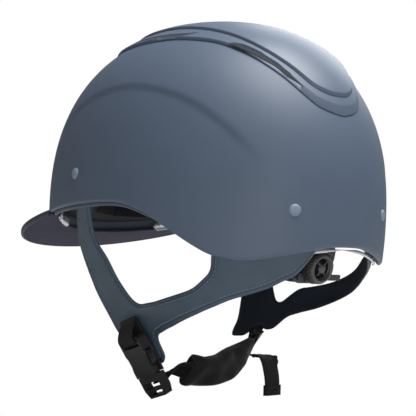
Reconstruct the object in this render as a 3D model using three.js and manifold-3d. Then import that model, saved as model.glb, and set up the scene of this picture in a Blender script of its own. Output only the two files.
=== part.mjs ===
// Equestrian riding helmet: moulded shell with a raised crown, peak, foam liner,
// leather harness, rear dial adjuster and side-release chin buckle.
// Millimetres, +Z up. The peak points to -Y and the wearer's left is +X.
// The origin lies on the centre plane at the level where the shell is widest.

import * as THREE from 'three';
import { mergeVertices } from 'three/addons/utils/BufferGeometryUtils.js';
import Module from 'manifold-3d';

const wasm = await Module();
wasm.setup();

// ---- driving dimensions

const halfWidth = 108.3;           // of the shell, at its widest level
const rearLength = 138;            // from the origin to the back of the shell
const frontLength = 150;           // from the origin to the brow of the shell
const domeHeight = 136;            // from the widest level to the crown
const domeRoundness = 2.33;        // exponent of the dome's side profile
const skirtTuck = 0.027;           // how far the skirt draws in, at skirtDepth below the widest level
const skirtDepth = 45;
const roundSegments = 36;          // facets around the dome
const fit = 0.3;                   // gap between touching pieces

const shellWall = 3;
const outerPlateProud = 2.2;       // top of the outer crown plate above the shell
const innerPlateProud = 4.0;       // top of the inner crown plate above the shell
const linerInset = { side: 25, rear: 32, front: 38, top: 27 };   // inner face of the foam liner
const padThickness = 8;
const linerRecess = 5;             // the liner's edge above the shell's rim
const padRecess = 1;               // the headband's edge above the shell's rim
const headbandTop = 34;
const crownPadHalf = [34, 46];     // half-width and half-length
const crownPadBottom = 99;
const tabPocketInset = { side: 11.8, back: 9.2 };   // inner face of the room for the leather tabs
const trimDrop = 2.8;              // how far the bound trim hangs under the rim
const trimTop = 4.4;
const trimInset = 5;               // inner face of the bound trim
const meshProud = 1.7;             // top of the vent mesh above the shell
const meshSeat = 0.4;
const linerRearLevel = -14;        // the liner stops here above the cradle
const rearZone = 78;               // y where that level begins

const peakHalfWidth = 83.5;
const peakRootY = -95;
const peakReach = 102;             // from its root line to its front edge
const peakSlope = 0.238;           // fall per millimetre forward
const peakRootZ = -5;
const peakThickness = 2.4;
const peakLiningThickness = 1.2;
const peakLiningInset = 0.6;

const rivetHeadRadius = 4.2;
const rivetShankRadius = 2.3;
const rivetShankDepth = 10.4;      // inwards from the shell's outer face
const washerRadius = 6;
const washerFaces = [10.3, 8.3];   // its inner and outer face, inwards from the shell's outer face

const strapThickness = 2.2;
const tabInset = 6.2;              // of the leather tabs between shell and liner
const webbingThickness = 1.6;
const webbingWidth = 20;

const dialCentre = [0, 101.5, -36];  // back of the dial housing, on its axis
const dialTilt = -12;              // degrees the dial faces down
const dialRadius = 11.2;
const pinionPitch = 5;             // pitch radius
const pinionTeeth = 10;

const buckleTop = [69.1, -9.3, -93];   // middle of the buckle's top edge
const buckleDown = [-0.41, 0.29, -0.86];   // its long axis, towards the plug
const buckleOut = [0.9, -0.02, -0.44];        // roughly out of its face
const buckleWidth = 26;
const buckleThick = 8.4;
const socketLength = 30;

const degree = Math.PI / 180;

// ---- helpers

const smooth = (t) => {
  const u = Math.min(Math.max(t, 0), 1);
  return u * u * (3 - 2 * u);
};

// A closed geometry as a solid with its faces pointing out.
function solid(geometry) {
  geometry.deleteAttribute('normal');
  geometry.deleteAttribute('uv');
  const merged = mergeVertices(geometry, 1e-4);
  const vertProperties = new Float32Array(merged.attributes.position.array);
  const corners = dropSlivers(Array.from(merged.index.array));
  const make = (triVerts) => new wasm.Manifold(new wasm.Mesh({ numProp: 3, vertProperties, triVerts }));
  const body = make(new Uint32Array(corners));
  return body.volume() > 0 ? body : make(new Uint32Array(turned(corners)));
}

function dropSlivers(corners) {
  const kept = [];
  for (let i = 0; i < corners.length; i += 3) {
    const [a, b, c] = corners.slice(i, i + 3);
    if (a !== b && b !== c && c !== a) kept.push(a, b, c);
  }
  return kept;
}

function turned(corners) {
  return corners.map((_, i) => corners[i - (i % 3) + [0, 2, 1][i % 3]]);
}

function geometryOf(body) {
  const mesh = body.getMesh();
  const geometry = new THREE.BufferGeometry();
  geometry.setAttribute('position', new THREE.BufferAttribute(new Float32Array(mesh.vertProperties), 3));
  geometry.setIndex(new THREE.BufferAttribute(new Uint32Array(mesh.triVerts), 1));
  geometry.computeVertexNormals();
  return geometry;
}

const helmet = new THREE.Group();

function finish(color, roughness, metalness = 0) {
  return new THREE.MeshStandardMaterial({ color, roughness, metalness });
}

function place(name, shape, material, parent = helmet) {
  const geometry = shape.isBufferGeometry ? shape : geometryOf(shape);
  const mesh = new THREE.Mesh(geometry, material);
  mesh.name = name;
  parent.add(mesh);
  return mesh;
}

function box(low, high) {
  const size = high.map((h, i) => h - low[i]);
  const geometry = new THREE.BoxGeometry(...size);
  geometry.translate(...high.map((h, i) => (h + low[i]) / 2));
  return solid(geometry);
}

// A flat outline extruded straight up (+Z) from z = low to z = high.
function upright(shape, low, high, curveSegments = 8) {
  const geometry = new THREE.ExtrudeGeometry(shape, { depth: high - low, bevelEnabled: false, curveSegments });
  geometry.translate(0, 0, low);
  return solid(geometry);
}

// An outline in the (y, z) plane extruded along X, centred on the middle plane.
function sideways(shape, low, high, curveSegments = 8) {
  const geometry = new THREE.ExtrudeGeometry(shape, { depth: high - low, bevelEnabled: false, curveSegments });
  geometry.applyMatrix4(new THREE.Matrix4().set(0, 0, 1, low, 1, 0, 0, 0, 0, 1, 0, 0, 0, 0, 0, 1));
  return solid(geometry);
}

function outline(points) {
  return new THREE.Shape(points.map(([u, v]) => new THREE.Vector2(u, v)));
}

function roundedRect(width, height, radius) {
  const [w, h, r] = [width / 2, height / 2, radius];
  const shape = new THREE.Shape();
  shape.moveTo(-w + r, -h).lineTo(w - r, -h).absarc(w - r, -h + r, r, -Math.PI / 2, 0, false);
  shape.lineTo(w, h - r).absarc(w - r, h - r, r, 0, Math.PI / 2, false);
  shape.lineTo(-w + r, h).absarc(-w + r, h - r, r, Math.PI / 2, Math.PI, false);
  shape.lineTo(-w, -h + r).absarc(-w + r, -h + r, r, Math.PI, Math.PI * 1.5, false);
  return shape;
}

// A strip through rows; each row gives the point and its outward direction at a share of the width.
function strip(rows, thickness, acrossSteps = 1) {
  const geometry = new THREE.BoxGeometry(1, 1, 1, acrossSteps, rows.length - 1, 1);
  const position = geometry.attributes.position;
  for (let i = 0; i < position.count; i += 1) {
    const across = position.getX(i) + 0.5;
    const row = rows[Math.round((0.5 - position.getY(i)) * (rows.length - 1))];
    const { point, out } = row(across);
    const lift = position.getZ(i) * thickness;
    position.setXYZ(i, point[0] + out[0] * lift, point[1] + out[1] * lift, point[2] + out[2] * lift);
  }
  return solid(geometry);
}

// ---- the dome family

// The solid dome at a given inset from the shell's outer face (negative stands proud).
function dome({ side, rear = side, front = side, top = side }) {
  const profile = [new THREE.Vector2(0, -skirtDepth)];
  const skirtLevels = [-skirtDepth, -skirtDepth * 0.67, -skirtDepth * 0.33];
  for (const level of skirtLevels) profile.push(new THREE.Vector2(1 - skirtTuck * (level / skirtDepth) ** 2, level));
  const steps = 9;
  for (let i = 0; i <= steps; i += 1) {
    const angle = (i / steps) * 90 * degree;
    const radius = Math.cos(angle) ** (2 / domeRoundness);
    profile.push(new THREE.Vector2(i === steps ? 0 : radius, Math.sin(angle) ** (2 / domeRoundness)));
  }
  const geometry = new THREE.LatheGeometry(profile, roundSegments);
  geometry.rotateX(Math.PI / 2);
  const position = geometry.attributes.position;
  for (let i = 0; i < position.count; i += 1) {
    const [x, y, z] = [position.getX(i), position.getY(i), position.getZ(i)];
    const reach = y > 0 ? rearLength - rear : frontLength - front;
    position.setXYZ(i, x * (halfWidth - side), y * reach, z > 0 ? z * (domeHeight - top) : z);
  }
  return solid(geometry);
}

// The lower edge of the shell, seen from the side: [y, z].
const rimLine = [
  [-200, -28], [-150, -16.6], [-130, -11.6], [-105, -5.8], [-62, -1.3], [-26, 1.5], [0, 2.9], [20, 2], [38, -3],
  [52, -10.3], [63, -17], [75, -24.6], [86, -30.8], [97, -33.7], [104, -34.1], [112, -32.7], [121, -29.8],
  [130, -25.6], [138, -22], [170, -22],
];
const rimCurve = new THREE.SplineCurve(rimLine.map(([y, z]) => new THREE.Vector2(y, z)));
const rimSteps = 40;

// Everything above the rim raised by lift, between two y stations.
function aboveRim(lift, low = -200, high = 170, top = 200) {
  const edge = rimCurve.getPoints(rimSteps).filter((p) => p.x >= low && p.x <= high).map((p) => [p.x, p.y + lift]);
  return sideways(outline([...edge, [edge[edge.length - 1][0], top], [edge[0][0], top]]), -160, 160);
}

// ---- shell and crown

// A smooth closed outline through points.
function leaf(points, steps) {
  const loop = new THREE.CatmullRomCurve3(points.map(([x, y]) => new THREE.Vector3(x, y, 0)), true);
  return outline(loop.getPoints(steps).slice(0, -1).map((p) => [p.x, p.y]));
}

// Vent slots by stations along them: [y, middle x, half-width].
const vents = {
  rear: [[111, 26.4, 0.3], [103.4, 31.4, 1.2], [95, 35, 1.6], [86, 38.9, 2.1], [77, 42, 2.3], [68, 44.8, 2.2],
    [63, 46.8, 1.3], [60, 48.4, 0.4]],
  front: [[29, 48.6, 0.4], [20, 53.4, 1.6], [8, 55.4, 1.8], [-6, 56, 1.7], [-20, 55.2, 1.4], [-34, 52.4, 0.9],
    [-42, 49.8, 0.3]],
};

function ventPlan(stations, side, inset) {
  const edge = (turn) => stations.map(([y, x, half]) => [x + turn * Math.max(half - inset, 0.12), y]);
  const points = [...edge(1), ...edge(-1).reverse()];
  return outline(side > 0 ? points : mirrored(points));
}

const sideName = (side) => (side > 0 ? 'left' : 'right');

function mirrored(points) {
  return points.map(([x, y]) => [-x, y]).reverse();
}

const ventSides = [['rear', 1], ['rear', -1], ['front', 1], ['front', -1]];

function ventPrism([which, side], inset = 0) {
  return upright(ventPlan(vents[which], side, inset), 50, 160);
}

function withoutVents(body) {
  return ventSides.reduce((left, vent) => left.subtract(ventPrism(vent)), body);
}

// A crown plate's plan: half-widths at stations from the back to the front, mirrored.
function crownPlan(stations) {
  const left = stations.map(([y, x]) => [x, y]);
  return leaf([...left, ...mirrored(left).slice(1, -1)], 56);
}

const outerPlan = crownPlan([
  [126, 0], [125, 8], [123, 14.8], [119.6, 21.2], [112, 28.6], [100, 35.9], [86, 42], [70, 46.8], [49, 52],
  [28, 56.6], [-2, 59.8], [-26, 58.8], [-44, 55.2], [-64, 47], [-84, 34.5], [-100, 19], [-106, 0],
]);
const innerPlan = crownPlan([
  [119.6, 0], [119, 7], [116.8, 13.4], [113, 19.2], [107, 23.7], [94, 30.4], [79, 35.8], [60, 39.9], [38, 42.8],
  [14, 44], [-12, 43], [-40, 38.2], [-64, 29.5], [-82, 18], [-91, 0],
]);

const rivetPlaces = [
  { name: 'rear_left', at: [42.7, 126.5, 0.7] }, { name: 'rear_right', at: [-42.7, 126.5, 0.7] },
  { name: 'front_left', at: [104, -37, 22.7] }, { name: 'front_right', at: [-104, -37, 22.7] },
];

function shellNormal([x, y, z]) {
  const reach = y > 0 ? rearLength : frontLength;
  const rise = z > 0 ? (z / domeHeight) ** (domeRoundness - 1) / domeHeight : 0;
  return new THREE.Vector3(x / halfWidth ** 2, y / reach ** 2, rise).normalize();
}

// A round pin on the shell's normal at a place, from depth to height above the outer face.
function pin(place, radius, depth, height, segments = 16) {
  const geometry = new THREE.CylinderGeometry(radius, radius, height + depth, segments);
  geometry.translate(0, (height - depth) / 2, 0);
  geometry.applyQuaternion(new THREE.Quaternion().setFromUnitVectors(new THREE.Vector3(0, 1, 0), shellNormal(place)));
  geometry.translate(...place);
  return solid(geometry);
}

function outerShell() {
  let shell = dome({ side: 0 }).subtract(dome({ side: shellWall })).intersect(aboveRim(0));
  for (const { at } of rivetPlaces) shell = shell.subtract(pin(at, rivetShankRadius + fit, 12, 6));
  return withoutVents(shell);
}

function crownPlate(plan, proud, seat) {
  const plate = dome({ side: -proud }).subtract(dome({ side: -seat }));
  return withoutVents(plate.intersect(upright(plan, 40, 180)));
}

function rivet({ at }) {
  const head = new THREE.LatheGeometry([
    new THREE.Vector2(0, fit), new THREE.Vector2(rivetHeadRadius, fit), new THREE.Vector2(rivetHeadRadius - 0.2, 0.9),
    new THREE.Vector2(rivetHeadRadius - 1.2, 1.5), new THREE.Vector2(0, 1.8),
  ], 20);
  head.applyQuaternion(new THREE.Quaternion().setFromUnitVectors(new THREE.Vector3(0, 1, 0), shellNormal(at)));
  head.translate(...at);
  return solid(head).add(pin(at, rivetShankRadius, rivetShankDepth, 1));
}

function anchorWasher({ at }) {
  const [inner, outer] = washerFaces;
  return pin(at, washerRadius, inner, -outer, 16).subtract(pin(at, rivetShankRadius + fit, 14, 2));
}

// ---- peak

function peakPlan(inset) {
  const shape = new THREE.Shape();
  const w = peakHalfWidth - inset;
  shape.absellipse(0, peakRootY, w, peakReach - inset, 0, -Math.PI, true);
  return shape;
}

// A sheet of the peak between two heights over its underside, following its slope.
function peakSheet(inset, low, high) {
  const geometry = new THREE.ExtrudeGeometry(peakPlan(inset), {
    depth: high - low, bevelEnabled: false, curveSegments: 26,
  });
  const position = geometry.attributes.position;
  for (let i = 0; i < position.count; i += 1) {
    const fall = peakSlope * (peakRootY - position.getY(i));
    position.setZ(i, position.getZ(i) + low + peakRootZ - fall);
  }
  return solid(geometry);
}

function peakShell() {
  return peakSheet(0, 0, peakThickness).subtract(dome({ side: -fit }));
}

function peakLining() {
  return peakSheet(peakLiningInset, -fit - peakLiningThickness, -fit).subtract(dome({ side: 9 }))
    .intersect(box([-100, -210, -60], [100, peakRootY - 3, 20]));
}

// ---- liner and pads

const insideLiner = dome(linerInset);
const padInset = (depth) => ({
  side: linerInset.side + depth, rear: linerInset.rear + depth,
  front: linerInset.front + depth, top: linerInset.top + depth,
});
const insidePads = dome(padInset(padThickness));
const behindCradle = box([-150, rearZone, -80], [150, 170, linerRearLevel]);

// Room between the shell and the liner for the strap tabs and their washers.
function strapPockets() {
  const room = (inset, area) => dome({ side: shellWall }).subtract(dome({ side: inset })).intersect(area);
  const sides = room(tabPocketInset.side, box([-150, -52, -60], [150, -23, 30]));
  const backs = box([16, 60, -60], [60, 170, 11]).add(box([-60, 60, -60], [-16, 170, 11]));
  const wells = rivetPlaces.map(({ at }) => pin(at, washerRadius + 2 * fit, washerFaces[0] + 2 * fit, 0));
  return wells.reduce((all, well) => all.add(well), sides.add(room(tabPocketInset.back, backs)));
}

function foamLiner() {
  return dome({ side: shellWall + fit }).subtract(insideLiner).intersect(aboveRim(linerRecess))
    .subtract(behindCradle).subtract(strapPockets());
}

function headbandPad() {
  return dome(padInset(fit)).subtract(insidePads).intersect(aboveRim(padRecess))
    .intersect(box([-150, -160, -60], [150, 170, headbandTop]))
    .subtract(box([-150, rearZone - 20, -80], [150, 170, linerRearLevel + 2]));
}

function crownPad() {
  const round = new THREE.Shape();
  round.absellipse(0, 0, ...crownPadHalf, 0, Math.PI * 2, false);
  return dome(padInset(fit)).intersect(upright(round, crownPadBottom, 150, 10));
}

function rimTrim(side) {
  const band = dome({ side: shellWall + fit }).subtract(dome({ side: trimInset }));
  const low = side > 0 ? 0 : -150;
  return band.intersect(aboveRim(-trimDrop, -94, 52)).subtract(aboveRim(trimTop))
    .intersect(box([low, -94, -60], [low + 150, 52, 60]));
}

// ---- leather harness

// Inset of the hanging leather from the shell's widest outline, by bearing and level.
function strapInset(bearing, level) {
  const narrowing = halfWidth * (1 - (1 - (Math.max(level, 0) / domeHeight) ** domeRoundness) ** (1 / domeRoundness));
  const drop = 5.1;
  const side = level > 0 ? tabInset + narrowing + drop * (1 - Math.min(level, 18) / 18) : tabInset + drop - 0.4 * level;
  const back = tabInset - 0.2 * Math.min(level + 25, 0);
  const wrap = smooth((bearing + 5) / 45) * (level < -70 ? smooth((level + 100) / 30) : 1);
  return side * (1 - wrap) + back * wrap;
}

// A point on the leather's outer face: bearing 0 is the wearer's left, 90 the back of the head.
function strapPoint(bearing, level, side, lift) {
  const angle = bearing * degree;
  const inset = strapInset(bearing, level);
  const raise = lift * smooth((bearing + 4) / 14) * smooth((-level - 20) / 30);
  if (bearing < 0) {
    const y = rearLength * Math.sin(angle);
    const waist = Math.sqrt(1 - (y / frontLength) ** 2);
    const hold = Math.min(Math.max((level + 60) / 60, 0), 1);
    const x = (halfWidth - inset) * (1 - (1 - waist) * hold);
    return { point: [side * x, y, level + raise], out: [side, 0, 0] };
  }
  const normal = new THREE.Vector2(Math.cos(angle) / halfWidth, Math.sin(angle) / rearLength).normalize();
  const x = halfWidth * Math.cos(angle) - inset * normal.x;
  const y = rearLength * Math.sin(angle) - inset * normal.y;
  return { point: [side * x, y, level + raise], out: [side * normal.x, normal.y, 0] };
}

// A leather strip between two edges, each a list of [bearing, level] stations.
function leatherStrip(edges, side, lift) {
  const rows = edges.map(([bearingA, levelA, bearingB, levelB]) => (across) => {
    const bearing = bearingA + (bearingB - bearingA) * across;
    const level = levelA + (levelB - levelA) * across;
    return strapPoint(bearing, level, side, lift);
  });
  return strip(rows, strapThickness, 3);
}

// Front strap with its tail: [bearing, level] of the front edge, then of the rear edge.
const frontStrap = [
  [-19.5, 27, -11.5, 27], [-20.5, 14, -11.5, 14], [-21.7, 0, -12.6, 0], [-23.4, -12, -13.8, -12],
  [-24.6, -24, -13.6, -24], [-23.4, -38, -10, -37], [-21.6, -52, -7.3, -52], [-19.7, -66, -2.5, -68],
  [-17, -80, 2.5, -80], [-14.5, -92, 5.2, -90], [-10.5, -101, 6.2, -98], [-5, -108, 7.4, -105], [-1, -111.5, 5, -110.5],
];
// Rear strap and nape panel: [bearing, top level, bearing, bottom level].
const rearStrap = [
  [-4, -70, -4, -88], [1, -68.8, 3, -90], [7, -67.2, 8.5, -88.6], [12, -65.8, 14, -85.2], [18, -63.2, 20, -81.8],
  [26, -59, 27, -77], [32, -54.8, 33, -72.5], [36, -48.5, 36.5, -69.3], [39, -41.4, 39.2, -67],
  [40, -27, 41, -65.4], [46, -25, 46, -61], [53, -24, 53, -56.6], [60, -22, 59.5, -52.2],
  [66, -18, 65, -46.8], [72, -14, 69.3, -43.2], [79, -14, 74.2, -32.8], [80, -14, 77, -25],
];
const rearTab = [[67, 9, 75.5, 9], [67, -4, 75.5, -4], [66.5, -18, 76.5, -18]];

// The right-hand front strap ends at the fork; only the left carries a tail behind the buckle.
const forkEnd = [[-17, -82, -1, -79], [-16.4, -90, -6.5, -86.5], [-15.4, -95.5, -10.5, -94.5]];
const forkLift = 12;               // the right-hand rear strap sits this much higher

function harness(side) {
  const front = side > 0 ? frontStrap : [...frontStrap.slice(0, 8), ...forkEnd];
  const lift = side > 0 ? 0 : forkLift;
  return leatherStrip(front, side, lift).add(leatherStrip(rearStrap, side, lift))
    .add(leatherStrip(rearTab, side, 0));
}

function holedFor(body, places) {
  return places.reduce((left, { at }) => left.subtract(pin(at, rivetShankRadius + fit, 14, 2)), body);
}

// ---- cradle and dial

const cradle = new THREE.Group();
cradle.position.set(...dialCentre);
cradle.rotation.x = dialTilt * degree;
helmet.add(cradle);

// In the cradle's own frame +Y leaves the dial's face; an outline's (u, v) is (x, z).
function facing(shape, low, high, curveSegments = 6) {
  const geometry = new THREE.ExtrudeGeometry(shape, { depth: high - low, bevelEnabled: false, curveSegments });
  geometry.rotateX(Math.PI / 2);
  geometry.translate(0, high, 0);
  return solid(geometry);
}

const cradleWall = 2.6;
const housingDepth = 5;
function cradlePlate() {
  const shape = outline([
    [-15, -11.5], [-10, -13], [10, -13], [15, -11.5], [19, -5], [21.5, 5], [21.5, 11], [19, 14], [-19, 14],
    [-21.5, 11], [-21.5, 5], [-19, -5],
  ]);
  return facing(shape, -fit - cradleWall, -fit);
}

function napePad() {
  return facing(roundedRect(46, 27, 7), -fit * 2 - cradleWall - 7, -fit * 2 - cradleWall, 5);
}

const rackHeight = 4;
const rackThickness = 1.8;
const rackFloor = 1.2;
const toothDepth = 1;
const rackLevel = pinionPitch + 0.9 + rackHeight / 2;
function dialHousing() {
  const round = facing(disc(dialRadius + 1), 0, housingDepth, 24);
  const [inner, outer] = [rackLevel - rackHeight / 2 - toothDepth - 0.8, rackLevel + rackHeight / 2 + 0.4];
  const roof = rackFloor + rackThickness + 0.8;
  return round.subtract(facing(disc(pinionPitch + 1.3), rackFloor, housingDepth + 1, 20))
    .subtract(box([-40, rackFloor, inner], [40, roof, outer]))
    .subtract(box([-40, rackFloor, -outer], [40, roof, -inner]));
}

function disc(radius) {
  const shape = new THREE.Shape();
  shape.absarc(0, 0, radius, 0, Math.PI * 2, false);
  return shape;
}

// A toothed or lobed outline: count lobes between two radii.
function lobed(count, low, high, stepsPerLobe = 4) {
  const points = [];
  for (let i = 0; i < count * stepsPerLobe; i += 1) {
    const angle = (i / (count * stepsPerLobe)) * Math.PI * 2;
    const swing = 0.5 + 0.5 * Math.cos(angle * count);
    points.push([Math.cos(angle) * (low + (high - low) * swing), Math.sin(angle) * (low + (high - low) * swing)]);
  }
  return outline(points);
}

const knobDepth = 6.4;
const knobRecess = 1.6;
const knobRecessRadius = 7.4;
const knobBore = 2.6;
function dialKnob() {
  const low = housingDepth + fit;
  const body = facing(lobed(18, dialRadius - 0.5, dialRadius), low, low + knobDepth);
  const recess = facing(disc(knobRecessRadius), low + knobDepth - knobRecess, low + knobDepth + 1, 20);
  const grip = facing(roundedRect(3, 12.6, 1.4), low + knobDepth - knobRecess - 0.2, low + knobDepth - 0.2, 4);
  const bore = facing(disc(knobBore), low - 1, low + 3.4, 12);
  return body.subtract(recess).add(grip).subtract(bore);
}

function dialPinion() {
  const gear = facing(lobed(pinionTeeth, pinionPitch - 0.7, pinionPitch + 0.5), rackFloor + fit, 4.6);
  return gear.add(facing(disc(knobBore - fit), 4.4, housingDepth + fit + 3, 12));
}

// A toothed band; side +1 reaches to the wearer's left above the pinion, -1 to the right below it.
const bandReach = 27;
function rackBand(side) {
  const pitch = (2 * Math.PI * pinionPitch) / pinionTeeth;
  const teeth = 10;
  const first = -(teeth / 2 - 0.5) * pitch;
  const [low, high] = [rackLevel - rackHeight / 2, rackLevel + rackHeight / 2];
  const points = [];
  for (let i = 0; i < teeth; i += 1) {
    const u = first + i * pitch;
    points.push([u, low], [u + pitch * 0.35, low - toothDepth], [u + pitch * 0.65, low - toothDepth]);
  }
  points.push([first + teeth * pitch, low], [bandReach, low], [bandReach, high], [first, high]);
  const faced = side > 0 ? points : points.map(([u, v]) => [-u, -v]);
  return facing(outline(faced), rackFloor + 0.4, rackFloor + 0.4 + rackThickness);
}

// ---- buckle

// The buckle's own frame: +X across, +Y out of its face, +Z up its long axis, 0 at its top edge.
const buckleFrame = new THREE.Matrix4();
{
  const up = new THREE.Vector3(...buckleDown).normalize().negate();
  const out = new THREE.Vector3(...buckleOut);
  out.addScaledVector(up, -out.dot(up)).normalize();
  const across = new THREE.Vector3().crossVectors(out, up);
  buckleFrame.makeBasis(across, out, up).setPosition(...buckleTop);
}
const buckle = new THREE.Group();
buckleFrame.decompose(buckle.position, buckle.quaternion, buckle.scale);
helmet.add(buckle);

const halfThick = buckleThick / 2;
const socketBore = 2.7;              // half the height inside the socket
const barFrom = -7.4;                // the webbing slot under the top bar
const barTo = -3.4;
function buckleSocket() {
  const w = buckleWidth / 2;
  const body = facing(outline([
    [-w + 2, 0], [-w, -2], [-w, -12], [-w + 1.2, -15], [-w + 1.2, -21], [-w, -24], [-w, -socketLength],
    [w, -socketLength], [w, -24], [w - 1.2, -21], [w - 1.2, -15], [w, -12], [w, -2], [w - 2, 0],
  ].reverse()), -halfThick, halfThick);
  const cavity = box([-10.6, -socketBore, -socketLength - 1], [10.6, socketBore, -9]);
  const windows = box([-w - 2, -socketBore, -socketLength - 1], [w + 2, socketBore, -11]);
  const webbingSlot = box([-10.6, -halfThick - 1, barFrom], [10.6, halfThick + 1, barTo]);
  return body.subtract(cavity).subtract(windows).subtract(webbingSlot);
}

const plugTop = -socketLength - 0.4;
const plugBottom = -47;
function bucklePlug() {
  const w = buckleWidth / 2;
  const body = facing(outline([
    [-w, plugTop], [w, plugTop], [w, -41], [w - 3, plugBottom], [-w + 3, plugBottom], [-w, -41],
  ].reverse()), -3.4, 3.4);
  const tongue = box([-2.4, -1.8, plugTop - 1], [2.4, 1.8, -12]);
  const slotUpper = box([-10.4, -5, -40.2], [10.4, 5, -35.4]);
  const slotLower = box([-9.4, -5, -45.2], [9.4, 5, -42.2]);
  return body.add(tongue).subtract(slotUpper).subtract(slotLower);
}

function releaseArm(side) {
  const points = [
    [6.2, plugTop + 0.3], [10, plugTop + 0.3], [10.2, -25], [11.6, -23], [13.2, -20], [13.2, -15.5], [11.6, -12.6],
    [8.6, -12.2], [6.2, -14],
  ].map(([u, v]) => [u * side, v]);
  return facing(outline(points), -2.2, 2.2);
}

// ---- webbing

// Loop of webbing sewn to the leather and passed round the socket's top bar, in the buckle's frame.
function anchorLoop() {
  const shape = outline([[-6.3, -4.5], [-5.4, -5.8], [5.4, -5.8], [6.3, -4.5], [6.3, 1], [-3.6, 12.5], [-6.3, 12]]);
  shape.holes.push(new THREE.Path([[-4.6, 9], [-4.2, 9], [4.6, 0.9], [4.6, -4], [-4.6, -4]]
    .map(([u, v]) => new THREE.Vector2(u, v))));
  return sideways(shape, -webbingWidth / 2, webbingWidth / 2);
}

// A strip through stations of [at, across, out], sampled on smooth curves.
function webbing(stations, width, thickness, steps, from = 0, to = 1) {
  const [places, acrosses, outs] = [0, 1, 2].map((part) => new THREE.CatmullRomCurve3(
    stations.map((station) => new THREE.Vector3(...station[part])),
  ));
  const rows = [];
  for (let i = 0; i <= steps; i += 1) {
    const t = from + ((to - from) * i) / steps;
    const at = places.getPoint(t);
    const run = places.getTangent(t);
    const across = acrosses.getPoint(t);
    across.addScaledVector(run, -across.dot(run)).normalize();
    const out = new THREE.Vector3().crossVectors(run, across);
    if (out.dot(outs.getPoint(t)) < 0) out.negate();
    rows.push((share) => ({
      point: at.clone().addScaledVector(across, (share - 0.5) * width).toArray(),
      out: out.toArray(),
    }));
  }
  return strip(rows, thickness);
}

const inBuckle = (x, y, z) => new THREE.Vector3(x, y, z).applyMatrix4(buckleFrame).toArray();
const alongBuckle = (x, y, z) => new THREE.Vector3(x, y, z).transformDirection(buckleFrame).toArray();

// The chin strap runs from the plug, through the pad and the slider, to the right-hand leather.
const chinRoute = [
  [inBuckle(0, -4.4, -38), alongBuckle(-1, 0, 0), alongBuckle(0, 0, -1)],
  [inBuckle(0, -8.5, -37), alongBuckle(-1, 0, 0), alongBuckle(0, 0, -1)],
  [[37, 4, -115], [-0.05, 0.5, 0.86], [0.1, 0.85, -0.45]],
  [[20, 5, -117], [0, 0.3, 0.95], [0.1, 0.94, -0.3]],
  [[0, 3, -117], [0, 0.2, 0.97], [0.1, 0.94, -0.2]],
  [[-20, -1, -112.5], [0, 0.2, 0.97], [0.1, 0.94, -0.2]],
  [[-38, -6, -105.5], [0.1, 0.4, 0.91], [-0.1, 0.93, -0.3]],
  [[-53, -14.5, -99.5], [0, 0.6, 0.8], [-0.5, 0.75, -0.4]],
  [[-63, -20.5, -92.5], [0, 0.85, 0.52], [-0.93, 0.2, -0.2]],
  [[-67.6, -22, -84], [0, 0.9, 0.42], [-0.95, 0.1, -0.2]],
];
const tailRoute = [
  [[-57, -3.5, -108.4], [0.96, 0.25, 0], [0, 0, 1]],
  [[-55, 0.5, -108.6], [0.96, 0.25, 0], [0, 0.2, 1]],
  [[-53, 6, -111], [0.96, 0.25, 0], [-0.1, 0.6, 0.7]],
  [[-52, 10, -118], [0.96, 0.25, 0], [-0.2, 0.9, 0.3]],
  [[-51.5, 12.5, -126], [0.96, 0.25, 0], [-0.25, 0.96, 0.1]],
  [[-51.5, 13, -136.5], [0.96, 0.25, 0], [-0.25, 0.96, 0]],
];

const padSpan = [0.272, 0.72];
const sliderSpan = [0.765, 0.81];
function chinPad() {
  const [from, to] = padSpan;
  return webbing(chinRoute, webbingWidth + 4.5, 9, 14, from, to)
    .subtract(webbing(chinRoute, webbingWidth + 1.2, webbingThickness + 2, 18, from - 0.03, to + 0.03));
}

function strapSlider() {
  const [from, to] = sliderSpan;
  return webbing(chinRoute, webbingWidth + 7, 6.4, 3, from, to)
    .subtract(webbing(chinRoute, webbingWidth + 1, webbingThickness + 1.2, 4, from - 0.03, to + 0.03));
}

// ---- assembly

const navyShell = finish(0x4b5866, 0.55);
const navyGloss = finish(0x44505e, 0.35);
const navyLeather = finish(0x3b4a59, 0.6);
const navyFabric = finish(0x33333f, 0.9);
const blackPlastic = finish(0x1c1c1e, 0.4);
const blackFabric = finish(0x18191b, 0.95);
const foam = finish(0x9aa0a6, 0.8);
const steel = finish(0x9aa3ac, 0.35, 0.8);
const rivetPaint = finish(0x8796a6, 0.4, 0.2);
const mesh = finish(0x2a2f36, 0.7, 0.3);

place('outer_shell', outerShell(), navyShell);
place('crown_plate_outer', crownPlate(outerPlan, outerPlateProud, fit), navyShell);
place('crown_plate_inner', crownPlate(innerPlan, innerPlateProud, outerPlateProud + fit), navyGloss);
for (const vent of ventSides) {
  const grille = dome({ side: -meshProud }).subtract(dome({ side: -meshSeat })).intersect(ventPrism(vent, 0.3));
  place(`vent_mesh_${vent[0]}_${sideName(vent[1])}`, grille, mesh);
}
place('peak_shell', peakShell(), navyShell);
place('peak_lining', peakLining(), navyFabric);
place('rim_trim_left', rimTrim(1), navyLeather);
place('rim_trim_right', rimTrim(-1), navyLeather);
place('foam_liner', foamLiner(), foam);
place('headband_pad', headbandPad(), blackFabric);
place('crown_pad', crownPad(), blackFabric);
for (const rivetPlace of rivetPlaces) {
  place(`rivet_${rivetPlace.name}`, rivet(rivetPlace), rivetPaint);
  place(`anchor_washer_${rivetPlace.name}`, anchorWasher(rivetPlace), steel);
}
place('harness_left', holedFor(harness(1), rivetPlaces), navyLeather);
place('harness_right', holedFor(harness(-1), rivetPlaces), navyLeather);

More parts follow.
